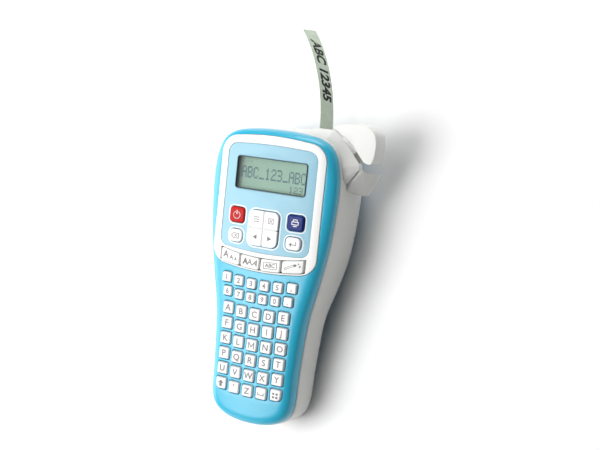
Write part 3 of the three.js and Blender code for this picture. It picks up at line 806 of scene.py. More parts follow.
def prism(loop, low, high, bevel=0.0):
    """Closed extrusion of a loop that is star-shaped about its middle, with optional bevelled ends."""
    shape = Shape()
    cx, cy = middle_of(loop)
    steps = [(0, low), (0, high)]
    if bevel:
        steps = [(-bevel, low), (0, low + bevel), (0, high - bevel), (-bevel, high)]
    made = shape.stack([(x, y, z) for x, y in (offset(loop, grow) if grow else loop)] for grow, z in steps)
    shape.fan(made[-1], (cx, cy, high))
    shape.fan(made[0], (cx, cy, low), up=False)
    return shape


def flat_prism(loop, low, high):
    """Closed extrusion of any simple loop."""
    points, triangles = triangulate(loop, [], [])
    shape = Shape()
    bottom = shape.ring([(x, y, low) for x, y in points])
    top = shape.ring([(x, y, high) for x, y in points])
    shape.faces.extend(tuple(top[i] for i in face) for face in triangles)
    shape.faces.extend(tuple(bottom[i] for i in reversed(face)) for face in triangles)
    shape.bridge(bottom, top)
    return shape


def block(x, y, z):
    loop = [(x[1], y[0]), (x[1], y[1]), (x[0], y[1]), (x[0], y[0])]
    return prism(loop, z[0], z[1])


def cylinder(x, y, radius, low, high):
    return prism(arc(x, y, radius, 0, 360, ROUND_SIDES)[:-1], low, high)


def rounded_hull(points, radius):
    """Convex hull of device points with every edge rounded."""
    edit = bmesh.new()
    for point in points:
        edit.verts.new(point)
    bmesh.ops.convex_hull(edit, input=edit.verts)
    bmesh.ops.delete(edit, geom=[v for v in edit.verts if not v.link_faces], context="VERTS")
    bmesh.ops.dissolve_limit(edit, angle_limit=math.radians(4), verts=edit.verts, edges=edit.edges)
    bmesh.ops.bevel(
        edit, geom=list(edit.verts) + list(edit.edges), offset=radius, segments=4,
        profile=0.5, affect="EDGES", clamp_overlap=True)
    bmesh.ops.recalc_face_normals(edit, faces=edit.faces)
    edit.verts.index_update()
    shape = Shape()
    shape.verts = [v.co.copy() for v in edit.verts]
    shape.faces = [tuple(v.index for v in face.verts) for face in edit.faces]
    edit.free()
    return shape


# ------------------------------------------------------------------ face: cover, ring and panel

ROLL_DEPTH = 8
ROLL_PLATE = 1.6
ROLL_INSETS = (1.2, 0.85, 0.55, 0.3, 0.12, 0.03, 0)
PLATE_INSETS = (2.2, 3, 4, 5.2, 6.6, 8.2)
GRID_INSET = 9.2
KEY_HOLE_GAP = 0.6
PANEL_HOLE_GAP = 0.4
PANEL_SEAM = 0.12
NAV_HALO = (0.9, 1.7)
KEY_HALO = (0.85, 1.6)


def roll_share(inset):
    """Share of the rise from the parting to the crown, over the rolled edge."""
    left = clamp(1 - inset / ROLL_DEPTH, 0, 1)
    return 0.08 + 0.92 * (1 - left ** 3) ** 0.45


def roll_height(inset):
    return lambda x, y: mix(PARTING_Z, crown(x), roll_share(inset))


EDGE = outline()


def cover_height(x, y):
    return mix(PARTING_Z, crown(x), roll_share(nearest((x, y), EDGE)))


def all_keys():
    return [key for row in ROWS for key in row_keys(row)]


def cover_inner_wall(share):
    return lambda x, y: mix(PARTING_Z, crown(x) - WALL, share)


def front_cover():
    """Cover plate with its key holes, the rolled edge down to the parting and the wall inside it."""
    holes = [densify(bowed_frame(RING, GAP), 2.4)] + [plan_loop(key, KEY_HOLE_GAP) for key in all_keys()]
    rolled = [p for inset in PLATE_INSETS for p in outline(inset)]
    extra = [p for p in rolled if all(not inside(p, h) and nearest(p, h) > 0.8 for h in holes)]
    extra += grid_points(outline(GRID_INSET), holes, pitch=3.4, clearance=1.6)
    rim = outline(ROLL_PLATE)
    shape, top, bottom = sheet(rim, holes, cover_height, WALL, fillet=0.22, extra=extra, edge_fillet=False)
    outer = [level(inset, roll_height(inset)) for inset in ROLL_INSETS]
    outer += [level(0, flat(PARTING_Z + 0.25)), level(0.25, flat(PARTING_Z)), level(WALL, flat(PARTING_Z))]
    outer += [level(WALL, cover_inner_wall(0.2)), level(2.2, cover_inner_wall(0.4))]
    rings = [top] + [shape.ring(points) for points in outer] + [bottom]
    for upper, lower in zip(rings, rings[1:]):
        shape.bridge(lower, upper)
    place("cover_shell", shape, COVER_BLUE, "case", ["front_cover"], sharp=50)


def format_top(x):
    """Upper edge of the format keys."""
    return FORMAT_TOP + FORMAT_BOW * x * x


def format_pocket():
    """Hole in the lower arc of the ring that the four format keys sit in."""
    reach = 33.4
    gap = 0.4
    lower = sorted(p for p in bowed_frame(RING, -1) if p[1] < RING_LOWER_PART and abs(p[0]) < reach)
    stations = [t / 10 * reach for t in range(10, -11, -1)]
    top = [(x, format_top(x) + gap) for x in stations]
    return lower + [(reach, lower[-1][1] + 0.5)] + top + [(-reach, lower[0][1] + 0.5)]


def bezel_ring():
    holes = [bowed_frame(PANEL, PANEL_SEAM), format_pocket()]
    shape, _, _ = sheet(bowed_frame(RING), holes, above_crown(RING_PROUD), 3.9, fillet=0.4, pitch=2.6)
    place("ring_frame", shape, RING_WHITE, "case", ["bezel_ring"])


def face_panel():
    holes = [plan_loop(DISPLAY)] + [plan_loop(key, PANEL_HOLE_GAP) for key in [NAV_PAD] + ROUND_KEYS]
    shape, _, _ = sheet(bowed_frame(PANEL), holes, above_crown(PANEL_PROUD), 2.6, fillet=0.35, pitch=3)
    place("panel_sheet", shape, PANEL_BLUE, "case", ["face_panel"])


def band(inner, outer, height, thick=0.05):
    """Thin flat ring between two loops of the same length."""
    shape = Shape()
    corners = ((inner, 0), (outer, 0), (outer, thick), (inner, thick))
    made = [shape.ring([(x, y, height(x, y) + lift) for x, y in loop]) for loop, lift in corners]
    for low, high in zip(made, made[1:] + made[:1]):
        shape.bridge(low, high)
    return shape


def key_halos():
    """White outlines printed on the panel round its keys."""
    height = above_crown(PANEL_PROUD)
    halos = band(*(plan_loop(NAV_PAD, grow) for grow in NAV_HALO), height)
    for key in ROUND_KEYS:
        halos.add(band(*(plan_loop(key, grow) for grow in KEY_HALO), height))
    place("key_halos", halos, INK_WHITE, "case")


# ------------------------------------------------------------------ legends


def lettering(text, size, weight=0.0, slant=0.0, thick=INK_DEPTH):
    """Text as a thin closed shape, centred on zero, in millimetres."""
    curve = bpy.data.curves.new("lettering", "FONT")
    curve.body = text
    curve.size = size
    curve.align_x = "CENTER"
    curve.align_y = "CENTER"
    curve.offset = weight
    curve.shear = slant
    curve.extrude = thick / 2
    curve.resolution_u = 4
    words = bpy.data.objects.new("lettering", curve)
    bpy.context.scene.collection.objects.link(words)
    graph = bpy.context.evaluated_depsgraph_get()
    mesh = bpy.data.meshes.new_from_object(words.evaluated_get(graph))
    shape = Shape()
    shape.verts = [v.co.copy() for v in mesh.vertices]
    shape.faces = [tuple(p.vertices) for p in mesh.polygons]
    bpy.data.objects.remove(words)
    bpy.data.curves.remove(curve)
    bpy.data.meshes.remove(mesh)
    return shape


def mapped(shape, where):
    """The shape with each point moved by a function of x, y and z."""
    moved = Shape()
    moved.verts = [Vector(where(*v)) for v in shape.verts]
    moved.faces = list(shape.faces)
    return moved


def at(x, y, z):
    return lambda u, v, w: (x + u, y + v, z + w)


def polygon(points):
    return prism(points, -INK_DEPTH / 2, INK_DEPTH / 2)


def bar(x1, y1, x2, y2, width):
    """Straight stroke of an icon."""
    along = Vector((x2 - x1, y2 - y1)).normalized() * width / 2
    side = Vector((-along.y, along.x))
    start, end = Vector((x1, y1)) - along, Vector((x2, y2)) + along
    return polygon([(p.x, p.y) for p in (start - side, end - side, end + side, start + side)])


def strokes(points, width):
    shape = Shape()
    for (x1, y1), (x2, y2) in zip(points, points[1:]):
        shape.add(bar(x1, y1, x2, y2, width))
    return shape


def rectangle_strokes(x, y, width):
    """Outline of a rectangle about zero."""
    return strokes([(-x, y), (x, y), (x, -y), (-x, -y), (-x, y)], width)


def cross_strokes(left, right):
    shape = bar(left, 0.8, right, -0.8, 0.4)
    return shape.add(bar(left, -0.8, right, 0.8, 0.4))


ARROW_LEFT = [(1.4, 1.7), (-1.6, 0), (1.4, -1.7)]


def shift_icon():
    shape = polygon([(0, 2.3), (-2.2, 0.1), (2.2, 0.1)])
    return shape.add(polygon([(0.9, -2.1), (-0.9, -2.1), (-0.9, 0), (0.9, 0)]))


def letter_m():
    return strokes([(-2, -2.1), (-2, 2.1), (0, -0.9), (2, 2.1), (2, -2.1)], 0.52)


def space_icon():
    return strokes([(-2.3, 0.5), (-2.3, -0.8), (2.3, -0.8), (2.3, 0.5)], 0.5)


def symbol_icon():
    shape = Shape()
    for cx, cy in ((-1.3, 1.1), (1.3, 1.1), (-1.3, -1.3), (1.3, -1.3)):
        shape.add(polygon(rounded_rectangle(cx, cy, 1.7, 1.5, 0.4, 3)))
    return shape


def power_icon():
    shape = strokes(arc(0, -0.2, 2.5, 122, 418, 26), 0.5)
    return shape.add(bar(0, 0.6, 0, 2.9, 0.5))


def print_icon():
    shape = strokes([(-2.4, -1), (-2.4, 0.9), (2.4, 0.9), (2.4, -1), (-2.4, -1)], 0.5)
    shape.add(strokes([(-1.5, 0.9), (-1.5, 2.4), (1.5, 2.4), (1.5, 0.9)], 0.45))
    return shape.add(bar(-1.2, -2.1, 1.2, -2.1, 0.45))


def clear_icon():
    shape = strokes([(-3, 0), (-1.4, 1.7), (2.6, 1.7), (2.6, -1.7), (-1.4, -1.7), (-3, 0)], 0.4)
    return shape.add(cross_strokes(-0.5, 1.2))


def enter_icon():
    shape = strokes([(2.4, 1.5), (2.4, -0.6), (-1.2, -0.6)], 0.5)
    return shape.add(polygon([(-0.9, 0.9), (-2.8, -0.6), (-0.9, -2.1)]))


def menu_icon():
    shape = Shape()
    for y in (1.5, 0, -1.5):
        shape.add(bar(-1.8, y, 1.8, y, 0.5))
    return shape


def escape_icon():
    return rectangle_strokes(1.9, 1.7, 0.4).add(cross_strokes(-0.9, 0.9))


# ------------------------------------------------------------------ keys

KEY_ICONS = {"^": shift_icon, "_": space_icon, "#": symbol_icon, "M": letter_m}


def row_web(row, reach):
    """Strip under the cover that joins the keys of one row."""
    stations = [t / 8 * reach for t in range(-8, 9)]
    web = [(x, row_line(row, x) - 3) for x in stations]
    web += [(x, row_line(row, x) + 3) for x in reversed(stations)]
    return flat_prism(web, *WEB)


def key_rows():
    for number, row in enumerate(ROWS, 1):
        name = f"key_row_{number}"
        keys = row_keys(row)
        shape = Shape()
        marks = Shape()
        for key, legend in zip(keys, row["legends"]):
            top = crown(key["x"]) + KEY_PROUD
            shape.add(keycap(plan_loop(key), WEB[1] - 0.2, top, taper=0.3))
            icon = KEY_ICONS.get(legend)
            mark = icon() if icon else lettering(legend, key["height"] * 0.74, 0.07)
            marks.add(mapped(mark, at(key["x"], key["y"], top + INK_LIFT)))
        shape.add(row_web(row, keys[-1]["x"] + row["width"] / 2 - 1))
        place(name + "_caps", shape, KEY_WHITE, name, [name])
        place(name + "_legends", marks, INK_GREY, name)


def head_keys():
    looks = {
        "power_key": (KEY_RED, "key_red", power_icon, INK_WHITE),
        "print_key": (KEY_NAVY, "key_navy", print_icon, INK_WHITE),
        "clear_key": (KEY_WHITE, "key_white", clear_icon, INK_GREY),
        "enter_key": (KEY_WHITE, "key_white", enter_icon, INK_GREY),
    }
    for key in ROUND_KEYS:
        material, slot, icon, ink = looks[key["name"]]
        top = crown(key["x"]) + KEY_PROUD
        cap = keycap(plan_loop(key), WEB[0], top, fillet=1.0, dome=0.15)
        place(key["name"] + "_cap", cap, material, key["name"], [key["name"]])
        mark = mapped(icon(), at(key["x"], key["y"], top + INK_LIFT))
        place(key["name"] + "_mark", mark, ink, key["name"])


def quarter(side, end):
    """Loop of one quarter of the pad, with the pad's own corner outside and small corners inside."""
    near = NAV_SPLIT / 2
    width = NAV_PAD["width"] / 2 - near
    height = NAV_PAD["height"] / 2 - near
    x = side * (near + width / 2)
    y = NAV_PAD["y"] + end * (near + height / 2)
    corners = [NAV_PAD["corner"] if quadrant == (side, end) else 0.5 for quadrant in QUADRANTS]
    return cornered_rectangle(x, y, width, height, corners)


def nav_keys():
    icons = {
        "nav_menu_key": (-1, 1, menu_icon()),
        "nav_escape_key": (1, 1, escape_icon()),
        "nav_left_key": (-1, -1, polygon(ARROW_LEFT)),
        "nav_right_key": (1, -1, polygon([(-x, -y) for x, y in ARROW_LEFT])),
    }
    for name, (side, end, icon) in icons.items():
        cap = keycap(quarter(side, end), WEB[0], NAV_TOP, fillet=0.45, dome=0.1)
        place(name + "_cap", cap, KEY_WHITE, name, [name])
        centre = (side * NAV_PAD["width"] / 4, NAV_PAD["y"] + end * NAV_PAD["height"] / 4)
        place(name + "_mark", mapped(icon, at(*centre, NAV_TOP + INK_LIFT)), INK_GREY, name)


def nav_cross():
    """Shallow white floor of the grooves between the pad's keys."""
    half = NAV_SPLIT / 2 - 0.06
    short = 1.2
    reach = (NAV_PAD["width"] / 2 - short, NAV_PAD["height"] / 2 - short)
    y = NAV_PAD["y"]
    cross = block((-reach[0], reach[0]), (y - half, y + half), (WEB[0], NAV_FLOOR))
    for end in (-1, 1):
        low, high = sorted((y + end * half, y + end * reach[1]))
        cross.add(block((-half, half), (low, high), (WEB[0], NAV_FLOOR)))
    place("nav_grooves", cross, KEY_WHITE, "case")


def format_middle(column):
    return (column - 1.5) * FORMAT_PITCH


def format_loop(column):
    """Outline of a format key; the outer two are a little wider."""
    middle = format_middle(column)
    half = FORMAT_PITCH / 2 - 0.7
    extra = 0.6
    left = middle - half - (extra if column == 0 else 0)
    right = middle + half + (extra if column == 3 else 0)
    frame_points = sorted(p for p in bowed_frame(RING, -1.4, 16) if p[1] < RING_LOWER_PART)

    def lower(x):
        for (x1, y1), (x2, y2) in zip(frame_points, frame_points[1:]):
            if x1 <= x <= x2:
                return mix(y1, y2, (x - x1) / (x2 - x1))
        return frame_points[0][1]

    corner = 1.3
    stations = [mix(left + corner, right - corner, t / 10) for t in range(11)]
    loop = [(x, lower(x)) for x in stations]
    loop += arc(right - corner, lower(right) + corner, corner, 300, 360, 3)
    loop += arc(right - corner, format_top(right) - corner, corner, 0, 60, 3)
    loop += [(x, format_top(x)) for x in reversed(stations)]
    loop += arc(left + corner, format_top(left) - corner, corner, 120, 180, 3)
    loop += arc(left + corner, lower(left) + corner, corner, 180, 240, 3)
    return loop


def sparkle(size):
    """Four-pointed star."""
    points = []
    for index in range(8):
        reach = size if index % 2 else size * 0.3
        angle = math.radians(45 + 45 * index)
        points.append((reach * math.cos(angle), reach * math.sin(angle)))
    return polygon(points)


def format_marks():
    """Letter sizes, letter styles, a framed text and a crayon with sparkles."""
    sizes = mapped(lettering("A", 6.6, 0.13), at(-3.9, 0.4, 0))
    sizes.add(mapped(lettering("A", 4.4, 0.1), at(0.9, -0.4, 0)))
    sizes.add(mapped(lettering("A", 3.4, 0.08), at(4.4, -0.8, 0)))
    styles = mapped(lettering("A", 5.8, 0.26), at(-3.4, 0, 0))
    styles.add(mapped(lettering("A", 5.8, 0.08), at(0.2, 0, 0)))
    styles.add(mapped(lettering("A", 5.8, 0.1, 0.4), at(3.8, 0, 0)))
    boxed = lettering("ABC", 3.8, 0.08).add(rectangle_strokes(4.9, 2.2, 0.4))
    crayon = strokes([(-5, -1.7), (1.2, 0.5), (1.2, 1.7), (-5, -0.5), (-5, -1.7)], 0.35)
    crayon.add(polygon([(3.4, 1.2), (2.2, 2.1), (0.9, 1.7), (1, 0.5), (2.4, 0.3)]))
    for x, y, size in ((4.4, 2.2, 0.9), (5.6, 0.4, 1.2)):
        crayon.add(mapped(sparkle(size), at(x, y, 0)))
    return [sizes, styles, boxed, crayon]


def format_keys():
    skirt = -3
    for column, (name, mark) in enumerate(zip(("size", "style", "frame", "deco"), format_marks())):
        loop = format_loop(column)
        cx = format_middle(column)
        _, cy = middle_of(loop)

        def lift(x, y, z):
            return x, y, z if z < skirt else z + crown(x) + FORMAT_PROUD

        def lay(u, v, w):
            slope = 2 * RING["bow"] * cx
            return cx + u, cy + v + slope * u, crown(cx + u) + FORMAT_PROUD + INK_LIFT + w

        cap = mapped(keycap(loop, WEB[0], 0, fillet=0.7, dome=0.1), lift)
        place(name + "_cap", cap, RING_WHITE, name + "_key", [name + "_key"])
        place(name + "_mark", mapped(mark, lay), INK_GREY, name + "_key")


# ------------------------------------------------------------------ display

DOT_GLYPHS = {
    "A": ("01110", "10001", "10001", "11111", "10001", "10001", "10001"),
    "B": ("11110", "10001", "10001", "11110", "10001", "10001", "11110"),
    "C": ("01110", "10001", "10000", "10000", "10000", "10001", "01110"),
    "1": ("00100", "01100", "00100", "00100", "00100", "00100", "01110"),
    "2": ("01110", "10001", "00001", "00110", "01000", "10000", "11111"),
    "3": ("11110", "00001", "00001", "01110", "00001", "00001", "11110"),
    "_": ("00000",) * 6 + ("11111",),
}


def display_dot(x, y, half_width, half_height):
    """One dark dot lying on the display cell."""
    return block(
        (x - half_width, x + half_width), (y - half_height, y + half_height), (DISPLAY_Z, DISPLAY_Z + 0.05))


def dot_text(text, x, y, pitch, rise):
    """Dots of a character display, laid from the upper left corner, six columns to a character."""
    shape = Shape()
    for index, letter in enumerate(text):
        for row, bits in enumerate(DOT_GLYPHS[letter]):
            for column, bit in enumerate(bits):
                if bit == "1":
                    cx = x + (index * 6 + column) * pitch
                    shape.add(display_dot(cx, y - row * rise, pitch * 0.6, rise * 0.54))
    return shape


def display_module():
    place("display_tray", block(**DISPLAY_TRAY), CASE_WHITE, "case", ["display_module"])
    cell = prism(plan_loop(DISPLAY_CELL), DISPLAY_TRAY["z"][1], DISPLAY_Z, bevel=0.2)
    place("display_cell", cell, DISPLAY_FACE, "case")
    marks = dot_text("ABC_123_ABC", -24.2, 100.4, 0.77, 1.14)
    place("display_marks", marks, DISPLAY_INK, "case")
    faint = dot_text("123", 13.5, 90.6, 0.62, 0.66)
    faint.add(dot_text("C", -24, 105.6, 0.4, 0.36))
    for x in (-20.6, -17.4):
        faint.add(display_dot(x, 104.4, 0.35, 0.35))
    place("display_faint_marks", faint, DISPLAY_FAINT, "case")
    # Gasket tube round the display's hole: its dark colour is partly a real gasket and partly painted shade
    # on the recess walls.
    tube = band(plan_loop(DISPLAY, -0.5), plan_loop(DISPLAY, -0.1), flat(DISPLAY_Z + 0.1), 4.6)
    place("display_gasket_painted_shade", tube, GASKET_WITH_PAINTED_SHADE, "case")


def display_window():
    glass = prism(plan_loop(GLASS), -3.4, -2.2, bevel=0.2)
    place("display_glass", glass, WINDOW, "case", ["display_window"])


# ------------------------------------------------------------------ rear case and back cover

# Shares of the way from the parting to the back lip, each with its inset from the outline.
CASE_PROFILE = [
    (0, 1.2), (0, 0.35), (0.008, 0.0), (0.02, -0.25), (0.05, -0.5), (0.1, -0.72),
    (0.2, -0.96), (0.35, -1.15), (0.5, -1.26), (0.65, -1.34), (0.78, -1.37), (0.84, -1.29),
    (0.885, -1.05), (0.92, -0.6), (0.95, -0.05), (0.975, 0.55), (1, 1.4),
]


def loaf(levels, cap_steps=3):
    """Closed solid with the body's outline. Levels run from the back to the front."""
    rings = [level(inset, height) for inset, height in levels]
    last_height = levels[-1][1]
    first_height = levels[0][1]
    low = [toward_spine(rings[0], first_height, 1 - i / cap_steps) for i in range(cap_steps)]
    high = [toward_spine(rings[-1], last_height, i / cap_steps) for i in range(1, cap_steps + 1)]
    shape = Shape()
    made = shape.stack(low + rings + high)
    for ring, up in ((made[-1], True), (made[0], False)):
        half = len(ring) // 2
        for i in range(half):
            a, b = ring[i], ring[i + 1]
            c, d = ring[-i - 1], ring[-i] if i else ring[0]
            face = (a, b, c, d)
            shape.faces.append(face if up else face[::-1])
    return shape


def case_side(inset, share):
    return inset, lambda x, y: mix(PARTING_Z - GAP, lip_z(y), share)


def case_shoulder():
    """Swelling of the case beside the cutter lever."""
    front = [(45, 98), (46.6, 108), (42.4, 116.6), (33, 124.2), (22, 127), (12, 127.6)]
    back = [
        (47, 92), (58.2, 107.6), (58.4, 110.8), (48.4, 122.4),
        (42, 128.6), (36, 132.6), (26, 132.6), (14, 130),
    ]
    points = [(x, y, SHOULDER_FRONT) for x, y in front]
    points += [(x, y, LEVER_FRONT + 1.2) for x, y in back]
    return rounded_hull(points, 0.8)


def case_guard():
    """Wedge under the cutter lever."""
    upper = [(44, 106.4, -20.5), (59.6, 107.2, -20.5), (67, 104.6, -35), (66.6, 104.4, -39), (44, 104.4, -39)]
    lower = [(44, 92, -20.5), (49, 92, -20.5), (58.8, 89, -35), (58.2, 88.8, -39), (44, 88.6, -39)]
    return rounded_hull(upper + lower, 0.9)


def case_bays():
    """Hollow of the case, from its floor to beyond the back lip."""
    def depth(share):
        return lambda x, y: mix(FLOOR_BOTTOM, lip_z(y), share)

    return loaf([(3.4, depth(1.2)), (3.4, depth(0.94)), (0.8, depth(0.86)), (0.8, depth(0))], 1)


def bay_plate():
    plan = [p for p in outline(0.4) if p[1] > BAY_PLATE["y"]]
    return flat_prism(plan, BAY_PLATE["bottom"], BAY_PLATE["top"])


def tape_slot():
    slot = prism(rounded_rectangle(TAPE["x"], TAPE["z"], 8.4, 13.2, 1.2), -140, -118)
    return mapped(slot, lambda x, y, z: (x, -z, y))


def socket_bore():
    """Hole along x on the socket's axis."""
    bore = cylinder(0, 0, 4.3, -54, -42)
    return mapped(bore, lambda x, y, z: (z, SOCKET["y"] + x, SOCKET["z"] + y))


def rear_case():
    body = loaf([case_side(inset, share) for share, inset in reversed(CASE_PROFILE)])
    case = mesh_object("case_shell", body, CASE_WHITE)
    boolean(case, case_shoulder(), "UNION")
    boolean(case, case_guard(), "UNION")
    boolean(case, loaf([(WALL, flat(FLOOR_TOP)), (WALL, flat(PARTING_Z + 2))], 1), "DIFFERENCE")
    boolean(case, case_bays(), "DIFFERENCE")
    boolean(case, bay_plate(), "UNION")
    arm_slot = block((38, 70), (105.6, 118.5), (LEVER_ARM[0] - 0.4, LEVER_ARM[1] + 0.6))
    boolean(case, arm_slot, "DIFFERENCE")
    boolean(case, tape_slot(), "DIFFERENCE")
    boolean(case, socket_bore(), "DIFFERENCE")
    for x, y in SHAFTS:
        boolean(case, cylinder(x, y, 3.1, -36, -31), "DIFFERENCE")
    settle(case, "case", ["rear_case"])


def back_side(inset, share):
    return inset, lambda x, y: mix(back_z(y), lip_z(y) - GAP, share)


def above_back(lift):
    return lambda x, y: back_z(y) + lift


def back_cover():
    flange = 1.3
    edge = 3.9
    profile = [(3.6, 0), (2.6, 0.03), (1.8, 0.1), (1.1, 0.2), (0.5, 0.36), (0.15, 0.6), (0, 0.85), (0.2, 1)]
    levels = [back_side(flange + inset, share) for inset, share in profile]
    levels += [back_side(edge, 1), (edge, lambda x, y: lip_z(y) + 1.2)]
    cover = mesh_object("back_shell", loaf(levels), BACK_BLUE)
    hollow = [(edge + 3.8, above_back(WALL)), (edge + 2, above_back(WALL + 1.4)), (edge + 2, above_back(12))]
    boolean(cover, loaf(hollow), "DIFFERENCE")
    boolean(cover, below_table(), "DIFFERENCE")
    settle(cover, "back_cover", ["back_cover"])


def below_table():
    slab = block((-150, 150), (-220, 220), (-60, 0))
    return mapped(slab, lambda x, y, z: (x, REST_POINT.y + y, rest_plane_z(REST_POINT.y + y) + z))


def rubber_foot():
    """Pad that fills the wedge between the handle's back and the table."""
    middle = -62
    bevel = 0.5
    loop = rounded_rectangle(0, middle, 34, 9, 3)
    foot = Shape()
    under = [(x, y, rest_plane_z(y)) for x, y in offset(loop, -bevel)]
    side = [(x, y, rest_plane_z(y) + bevel) for x, y in loop]
    top = [(x, y, back_z(y) - GAP) for x, y in loop]
    made = foot.stack([under, side, top])
    foot.fan(made[-1], (0, middle, back_z(middle) - GAP))
    foot.fan(made[0], (0, middle, rest_plane_z(middle)), up=False)
    place("foot_pad", foot, RUBBER_BLACK, "back_cover", ["rubber_foot"])


# ------------------------------------------------------------------ cutter lever and tape

LEVER_PLAN = [
    (33, 133.8), (49.4, 124), (60.2, 111.9), (65.6, 111.3), (67.4, 117.8), (67.8, 125.8), (66, 132.8),
    (61, 136.6), (52.6, 137.8), (42, 137),
]


def lever_plate():
    """Plate of the lever with rounded edges on its front and back faces."""
    loop = [(p.x, p.y) for p in smooth_corners(LEVER_PLAN, 4)]
    fillet = 0.7
    body = Shape()
    rings = []
    for reach, rise in quarter_turn(5):
        moved = offset(loop, -fillet * reach)
        rings.append([(x, y, LEVER_BACK + fillet * rise) for x, y in moved])
    for drop, reach in quarter_turn(5):
        moved = offset(loop, -fillet * reach)
        rings.append([(x, y, LEVER_FRONT - fillet * drop) for x, y in moved])
    made = body.stack(rings)
    for ring, up in ((made[-1], True), (made[0], False)):
        points = [(body.verts[i].x, body.verts[i].y) for i in ring]
        _, triangles = triangulate(points, [], [])
        body.faces.extend(tuple(ring[i] for i in (face if up else face[::-1])) for face in triangles)
    return body


def cutter_lever():
    lever = mesh_object("lever_body", lever_plate(), CASE_WHITE)
    arm = [(40, 106.8), (42.6, 106.6), (62, 115.4), (58, 122), (39.6, 113.3)]
    boolean(lever, prism(arm, *LEVER_ARM), "UNION")
    boolean(lever, cylinder(*LEVER_PIVOT, 3.5, *LEVER_ARM), "UNION")
    boolean(lever, cylinder(*LEVER_PIVOT, 1.5, -40, -20), "DIFFERENCE")
    settle(lever, "cutter_lever", ["cutter_lever"])


def smooth_corners(points, radius, steps=5):
    """Rounds each corner of a loop with a quadratic curve."""
    rounded = []
    for i, corner in enumerate(points):
        corner = Vector(corner)
        before = Vector(points[i - 1]) - corner
        after = Vector(points[(i + 1) % len(points)]) - corner
        reach = min(radius, before.length * 0.45, after.length * 0.45)
        start = corner + before.normalized() * reach
        end = corner + after.normalized() * reach
        for step in range(steps + 1):
            t = step / steps
            rounded.append(start * (1 - t) ** 2 + corner * 2 * t * (1 - t) + end * t * t)
    return rounded


TAPE_RUN = TAPE_TWIST[1] - TAPE["start"]
TAPE_LENGTH = TAPE_RUN + CURL_RADIUS * CURL_ANGLE


def tape_point(s, w, n):
    """Point of the tape: s along it from the print head, w across it and n off its face."""
    turn = CURL_TWIST * smooth(TAPE["start"] + s, *TAPE_TWIST)
    across = Vector((-math.sin(turn), 0, math.cos(turn)))
    if s <= TAPE_RUN:
        point = Vector((TAPE["x"], TAPE["start"] + s, TAPE["z"]))
        heading = Vector((0, 1, 0))
    else:
        angle = (s - TAPE_RUN) / CURL_RADIUS
        away = Vector((-math.cos(turn), 0, -math.sin(turn)))
        base = Vector((TAPE["x"], TAPE_TWIST[1], TAPE["z"]))
        point = base + Vector((0, 1, 0)) * CURL_RADIUS * math.sin(angle)
        point = point + away * CURL_RADIUS * (1 - math.cos(angle))
        heading = Vector((0, 1, 0)) * math.cos(angle) + away * math.sin(angle)
    normal = heading.cross(across).normalized()
    return point + across * w + normal * n


def label_tape():
    half = TAPE["width"] / 2
    thick = TAPE["thickness"] / 2
    corner = half - 0.1
    section = [
        (-half, -thick * 0.5), (-corner, -thick), (corner, -thick), (half, -thick * 0.5),
        (half, thick * 0.5), (corner, thick), (-corner, thick), (-half, thick * 0.5),
    ]
    steps = 110
    stations = [TAPE_LENGTH * i / steps for i in range(steps + 1)]
    shape = Shape()
    made = shape.stack([tape_point(s, w, n) for w, n in section] for s in stations)
    shape.faces.append(tuple(reversed(made[0])))
    shape.faces.append(tuple(made[-1]))
    place("tape_strip", shape, TAPE_FACE, "case", ["label_tape"])
    words = lettering("ABC 12345", 10, weight=0.42, slant=0.3, thick=0.05)
    start = TAPE_LENGTH - 33
    ink = mapped(words, lambda u, v, w: tape_point(start - u, -v, thick + 0.02 + w))
    place("tape_print", ink, INK_BLACK, "case")


# ------------------------------------------------------------------ works inside


def lathe_rings(profile, origin, axis):
    """Rings about an axis from (radius, height) pairs."""
    side = Vector((1, 0, 0)) if abs(axis.x) < 0.5 else Vector((0, 0, 1))
    other = axis.cross(side)
    rings = []
    for radius, height in profile:
        ring = []
        for i in range(ROUND_SIDES):
            angle = 2 * math.pi * i / ROUND_SIDES
            ring.append(origin + axis * height + (side * math.cos(angle) + other * math.sin(angle)) * radius)
        rings.append(ring)
    return rings


def turned(profile, origin, axis):
    """Solid of revolution from (radius, height) pairs that start and end on the axis."""
    shape = Shape()
    made = shape.stack(lathe_rings(profile[1:-1], origin, axis))
    shape.fan(made[-1], origin + axis * profile[-1][1])
    shape.fan(made[0], origin + axis * profile[0][1], up=False)
    return shape


def batteries():
    sleeve = [(0, 0.6), (5.0, 0.6), (5.25, 0.9), (5.25, 42.8), (5.0, 43.2), (2.6, 43.3), (0, 43.3)]
    cap = [(0, 43.4), (1.9, 43.4), (1.9, 44.3), (1.7, 44.5), (0, 44.5)]
    foot = [(0, 0), (3.6, 0), (3.9, 0.15), (3.9, 0.5), (0, 0.5)]
    up = Vector((0, 1, 0))
    bases = [Vector((x, -57, z)) for z in (-18.9, -29.7) for x in (-11, 0, 11)]
    for index, base in enumerate(bases, 1):
        name = f"battery_{index}"
        place(name + "_sleeve", turned(sleeve, base, up), CELL, "case", [name])
        ends = turned(cap, base, up).add(turned(foot, base, up))
        place(name + "_ends", ends, BRASS, "case")


def power_socket():
    middle = Vector((0, SOCKET["y"], SOCKET["z"]))
    axis = Vector((1, 0, 0))
    ring = [(2.8, -49.3), (3.6, -49.3), (3.9, -49.0), (3.9, -46.7), (3.9, -37), (2.8, -37)]
    shape = Shape()
    made = shape.stack(lathe_rings(ring, middle, axis))
    shape.bridge(made[-1], made[0])
    place("socket_ring", shape, SOCKET_BLACK, "case", ["power_socket"])
    pin = [(0, -48), (0.55, -48), (0.8, -47.6), (0.8, -37.2), (0, -37.2)]
    place("socket_pin", turned(pin, middle, axis), BRASS, "case")
    back = [(0, -40), (2.7, -40), (2.7, -37.4), (0, -37.4)]
    place("socket_back", turned(back, middle, axis), SOCKET_BLACK, "case")


def dress(material, *nodes):
    for node in nodes:
        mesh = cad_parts[node].data
        mesh.materials.clear()
        mesh.materials.append(material)


